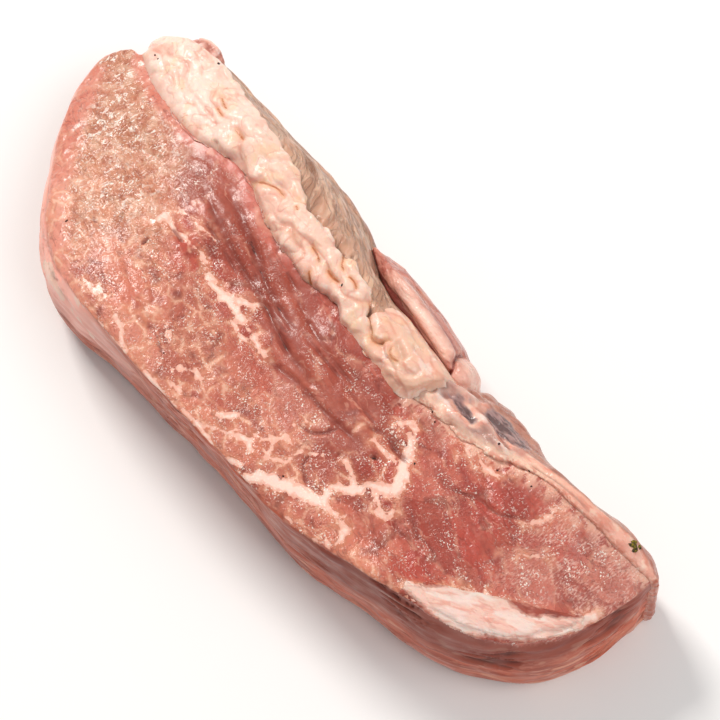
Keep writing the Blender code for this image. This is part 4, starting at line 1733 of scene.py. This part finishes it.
@dataclass
class CornerStrands(Piece):
    """The strands of another muscle at the wide end."""

    name: str = "corner_strands_piece"
    node: str = "corner_lean"
    slot: Slot = Slot.STRANDS
    look: Finish = PulledMeat(ground="#DD9C8E", streak="#BE7466", ridge="#FBDACF", cleft_shade="#8A4238")
    cell: float = 0.25
    relax: int = 3

    def carve(self, clay: Clay) -> None:
        """Thicken the strands at the top, tuck their lower part in and groove them.

        Args:
            clay: the piece, with nothing carved yet.
        """
        spots = clay.first
        z = spots[:, 2]
        shown = above_board(z, 0.5)
        top = ease(z, z.max() - 6, z.max() - 2)
        clay.shift((0, -1, 0.25), 2.8 * top * ease(-clay.normals[:, 1], -0.2, 0.4))
        clay.shift((0, -1, 0), 0.8 * (1 - top))
        clay.meet(("fat_cap",), 1.4, 0.5, share=1 - top)
        clay.soften(np.ones(len(spots)), 3)
        groove = noise(spots, (12, 1.1, 1.3), 101)
        clay.lift((0.4 * groove + 0.2) * shown)
        clay.crease(0.55 * bell(groove, 0.16) * shown * (0.3 + 0.7 * top))
        clay.layers[Layer.MARKS_AND_LIGHT] = ease(groove, 0.05, 0.35) * top
        clay.layers[Layer.FLANK] = 1 - ease(z + 1.5 * noise(spots, 4, 102), z.max() - 8, z.max() - 5)


@dataclass
class SeamFat(Piece):
    """The layered strip of fat in the front edge."""

    name: str = "seam_fat_piece"
    node: str = "seam_fat"
    slot: Slot = Slot.SEAM
    look: Finish = LayeredFat()
    cell: float = 0.3
    relax: int = 4
    swell: float = 0.3

    def carve(self, clay: Clay) -> None:
        """Carve the thin layers and fill the groove beside the muscle.

        Args:
            clay: the piece, with nothing carved yet.
        """
        spots = clay.first
        layer = noise(spots, (16, 2.0, 1.4), 111, 2)
        clay.lift(0.25 * layer + 0.2 * noise(spots, 5, 112) - 0.1)
        clay.crease(0.3 * bell(layer, 0.08) * ease(noise(spots, 8, 113), -0.1, 0.3))
        clay.fill_seam(clay.towards("lean", 3.0)[1])
        clay.layers[Layer.SEAM] = STRIP.outside(spots, 6.0)


@dataclass
class Crumbs:
    """Small bits that stick to the surface, joined to one object for each kind.

    Args:
        name: what the object is called.
        slot: its material slot; not used.
        look: what it is dressed in.
        bits: for each bit its x and y, its length, its width and its turn in degrees.
        dent: how deep its dents are, in shares of its size.
        dent_size: how far apart they are, in the same shares.
    """

    name: str
    slot: Slot
    look: DryCrumb
    bits: tuple[tuple[float, float, float, float, float], ...]
    dent: float = 0.5
    dent_size: float = 0.9

    def build(self, pieces: list[bpy.types.Object]) -> bpy.types.Object:
        """Set the bits on the highest skin under each place.

        Args:
            pieces: the finished pieces that they may lie on.

        Returns:
            The object.
        """
        work = bmesh.new()
        for x, y, long, wide, turn in self.bits:
            spot, normal = self.drop(pieces, x, y)
            lean = normal.to_track_quat("Z", "Y").to_matrix().to_4x4()
            size = Matrix.Diagonal((long / 2 * MM, wide / 2 * MM, wide / 3 * MM, 1))
            ball = bmesh.ops.create_icosphere(work, subdivisions=3, radius=1.0)["verts"]
            dents = noise(np.array([v.co for v in ball]) + (x, y, 0), self.dent_size, 121, 2)
            for v, dent in zip(ball, dents):
                v.co *= 1 + self.dent * dent
            spread = Matrix.Translation(spot) @ lean @ Matrix.Rotation(math.radians(turn), 4, "Z") @ size
            bmesh.ops.transform(work, matrix=spread, verts=ball)
        mesh = cast(self.name, work)
        mesh.polygons.foreach_set("use_smooth", [True] * len(mesh.polygons))
        return ride_along(self.name, mesh, self.look.make())

    @staticmethod
    def drop(pieces: list[bpy.types.Object], x: float, y: float, above: float = 60) -> tuple[Vector, Vector]:
        """Find the highest skin under a place.

        Args:
            pieces: where to look.
            x: the place's x.
            y: its y.
            above: a height above all of them.

        Returns:
            The point on the skin and the skin's normal there.
        """
        graph = bpy.context.evaluated_depsgraph_get()
        hits = [piece.ray_cast(Vector((x, y, above)) * MM, Vector((0, 0, -1)), depsgraph=graph)
                for piece in pieces]
        _, spot, normal, _ = max((hit for hit in hits if hit[0]), key=lambda hit: hit[1].z)
        return spot, normal


SPECKS = Crumbs("dark_specks", Slot.LEAN, DryCrumb(), (
    (38, 10, 0.7, 0.5, 20), (40, 9, 0.5, 0.4, 0), (28, -25, 0.5, 0.4, 40), (45, -1, 0.6, 0.4, 80),
    (-59, -23, 0.8, 0.5, 10), (1, 14, 0.7, 0.6, 0), (66, 15, 0.5, 0.4, 60), (63, 17, 0.5, 0.4, 0),
    (54, 16, 0.6, 0.5, 30), (58, 12, 0.5, 0.4, 0), (-84.3, 21.9, 0.7, 0.5, 45), (-82.5, 21.6, 0.5, 0.4, 0),
    (-70, 31.4, 0.8, 0.6, 0), (38, -7, 1.4, 0.4, 25), (-14, -27, 0.5, 0.4, 0)))
HERB = Crumbs("herb_bit", Slot.PINK, DryCrumb(
    name="dried_herb_crumb_8A7818", dark="#3A2C08", light="#8A7818"), (
    (90, 24, 1.9, 1.2, 30), (89.3, 24.5, 1.3, 0.9, 100), (90.8, 23.4, 1.4, 0.9, -40),
    (89.4, 23.4, 1.0, 0.7, 60), (90.8, 24.8, 1.0, 0.7, 10)))


# ---------------------------------------------------------------- the studio
@dataclass(frozen=True)
class Lamp:
    """A soft square lamp.

    Args:
        name: its name.
        way: the direction in which it hangs.
        size: its side, in metres.
        power: in watts.
        colour: as a hex value.
    """

    name: str
    way: tuple[float, float, float]
    size: float
    power: float
    colour: str

    def hang(self, distance: float) -> None:
        """Hang the lamp and turn it to the slice.

        Args:
            distance: how far away it hangs.
        """
        light = bpy.data.lights.new(self.name, "AREA")
        light.size = self.size
        light.energy = self.power
        light.color = linear(self.colour)[:3]
        lamp = add_object(self.name, light)
        lamp.location = distance * Vector(self.way).normalized()
        lamp.rotation_euler = Vector(self.way).to_track_quat("Z", "Y").to_euler()


@dataclass
class Studio:
    """A pale floor, soft light and the camera.

    Lengths are in metres, apart from the camera's lens and sensor.
    """

    LAMPS: ClassVar[tuple[Lamp, ...]] = (
        Lamp("key_lamp", (-0.70, 0.10, 0.70), 0.5, 21.0, "#FFFAF4"),
        Lamp("side_lamp", (0.62, 0.22, 0.76), 1.2, 12.0, "#FFFDFA"),
    )
    lamp_distance: float = 1.7
    sky_strength: float = 0.38
    floor_size: float = 3.0
    floor_colour: str = "#F7F7F7"
    floor_roughness: float = 0.8
    target: tuple[float, float, float] = (0.0104, 0.0098, 0.017)
    azimuth: float = math.radians(60)
    elevation: float = math.radians(64)
    roll: float = math.radians(-10)
    distance: float = 0.55
    lens: float = 117.16
    sensor: float = 36.0

    def build(self) -> None:
        """Set the whole studio up."""
        self.lay_floor()
        for lamp in self.LAMPS:
            lamp.hang(self.lamp_distance)
        world = bpy.data.worlds.new("white_studio")
        world.use_nodes = True
        sky = world.node_tree.nodes["Background"]
        sky.inputs["Color"].default_value = linear("#FFFFFF")
        sky.inputs["Strength"].default_value = self.sky_strength
        bpy.context.scene.world = world
        bpy.context.scene.view_settings.view_transform = "Standard"
        self.stand_camera()

    def lay_floor(self) -> None:
        """Lay the floor: matt white board, which takes a soft shadow and no reflection."""
        work = bmesh.new()
        bmesh.ops.create_grid(work, x_segments=1, y_segments=1, size=self.floor_size / 2)
        floor = add_object("floor", cast("floor", work))
        made = bpy.data.materials.new("matt_white_board")
        made.use_nodes = True
        shader = made.node_tree.nodes["Principled BSDF"]
        shader.inputs["Base Color"].default_value = linear(self.floor_colour)
        shader.inputs["Roughness"].default_value = self.floor_roughness
        floor.data.materials.append(made)

    def stand_camera(self) -> None:
        """Stand the camera over the slice."""
        lens = bpy.data.cameras.new("camera")
        lens.sensor_width = self.sensor
        lens.lens = self.lens
        camera = add_object("camera", lens)
        back = Vector((math.sin(self.azimuth) * math.cos(self.elevation),
                       -math.cos(self.azimuth) * math.cos(self.elevation),
                       math.sin(self.elevation)))
        level = Vector((0, 0, 1)).cross(back).normalized()
        upright = back.cross(level)
        right = math.cos(self.roll) * level + math.sin(self.roll) * upright
        up = -math.sin(self.roll) * level + math.cos(self.roll) * upright
        turn = Matrix((right, up, back)).transposed().to_4x4()
        camera.matrix_world = Matrix.Translation(Vector(self.target) + self.distance * back) @ turn
        bpy.context.scene.camera = camera


def main() -> None:
    """Build every piece and the studio round them."""
    logging.basicConfig(level=logging.INFO, format="%(name)s: %(message)s")
    pieces = []
    for part in (Muscle(), FatCap(), ThinRim(), SideFlap(), CornerStrands(), SeamFat()):
        pieces.append(part.build())
        LOG.info("made %s: %d faces", part.name, len(pieces[-1].data.polygons))
    for crumbs in (SPECKS, HERB):
        crumbs.build(pieces)
        LOG.info("made %s: %d bits", crumbs.name, len(crumbs.bits))
    Studio().build()


if __name__ == "__main__":
    main()
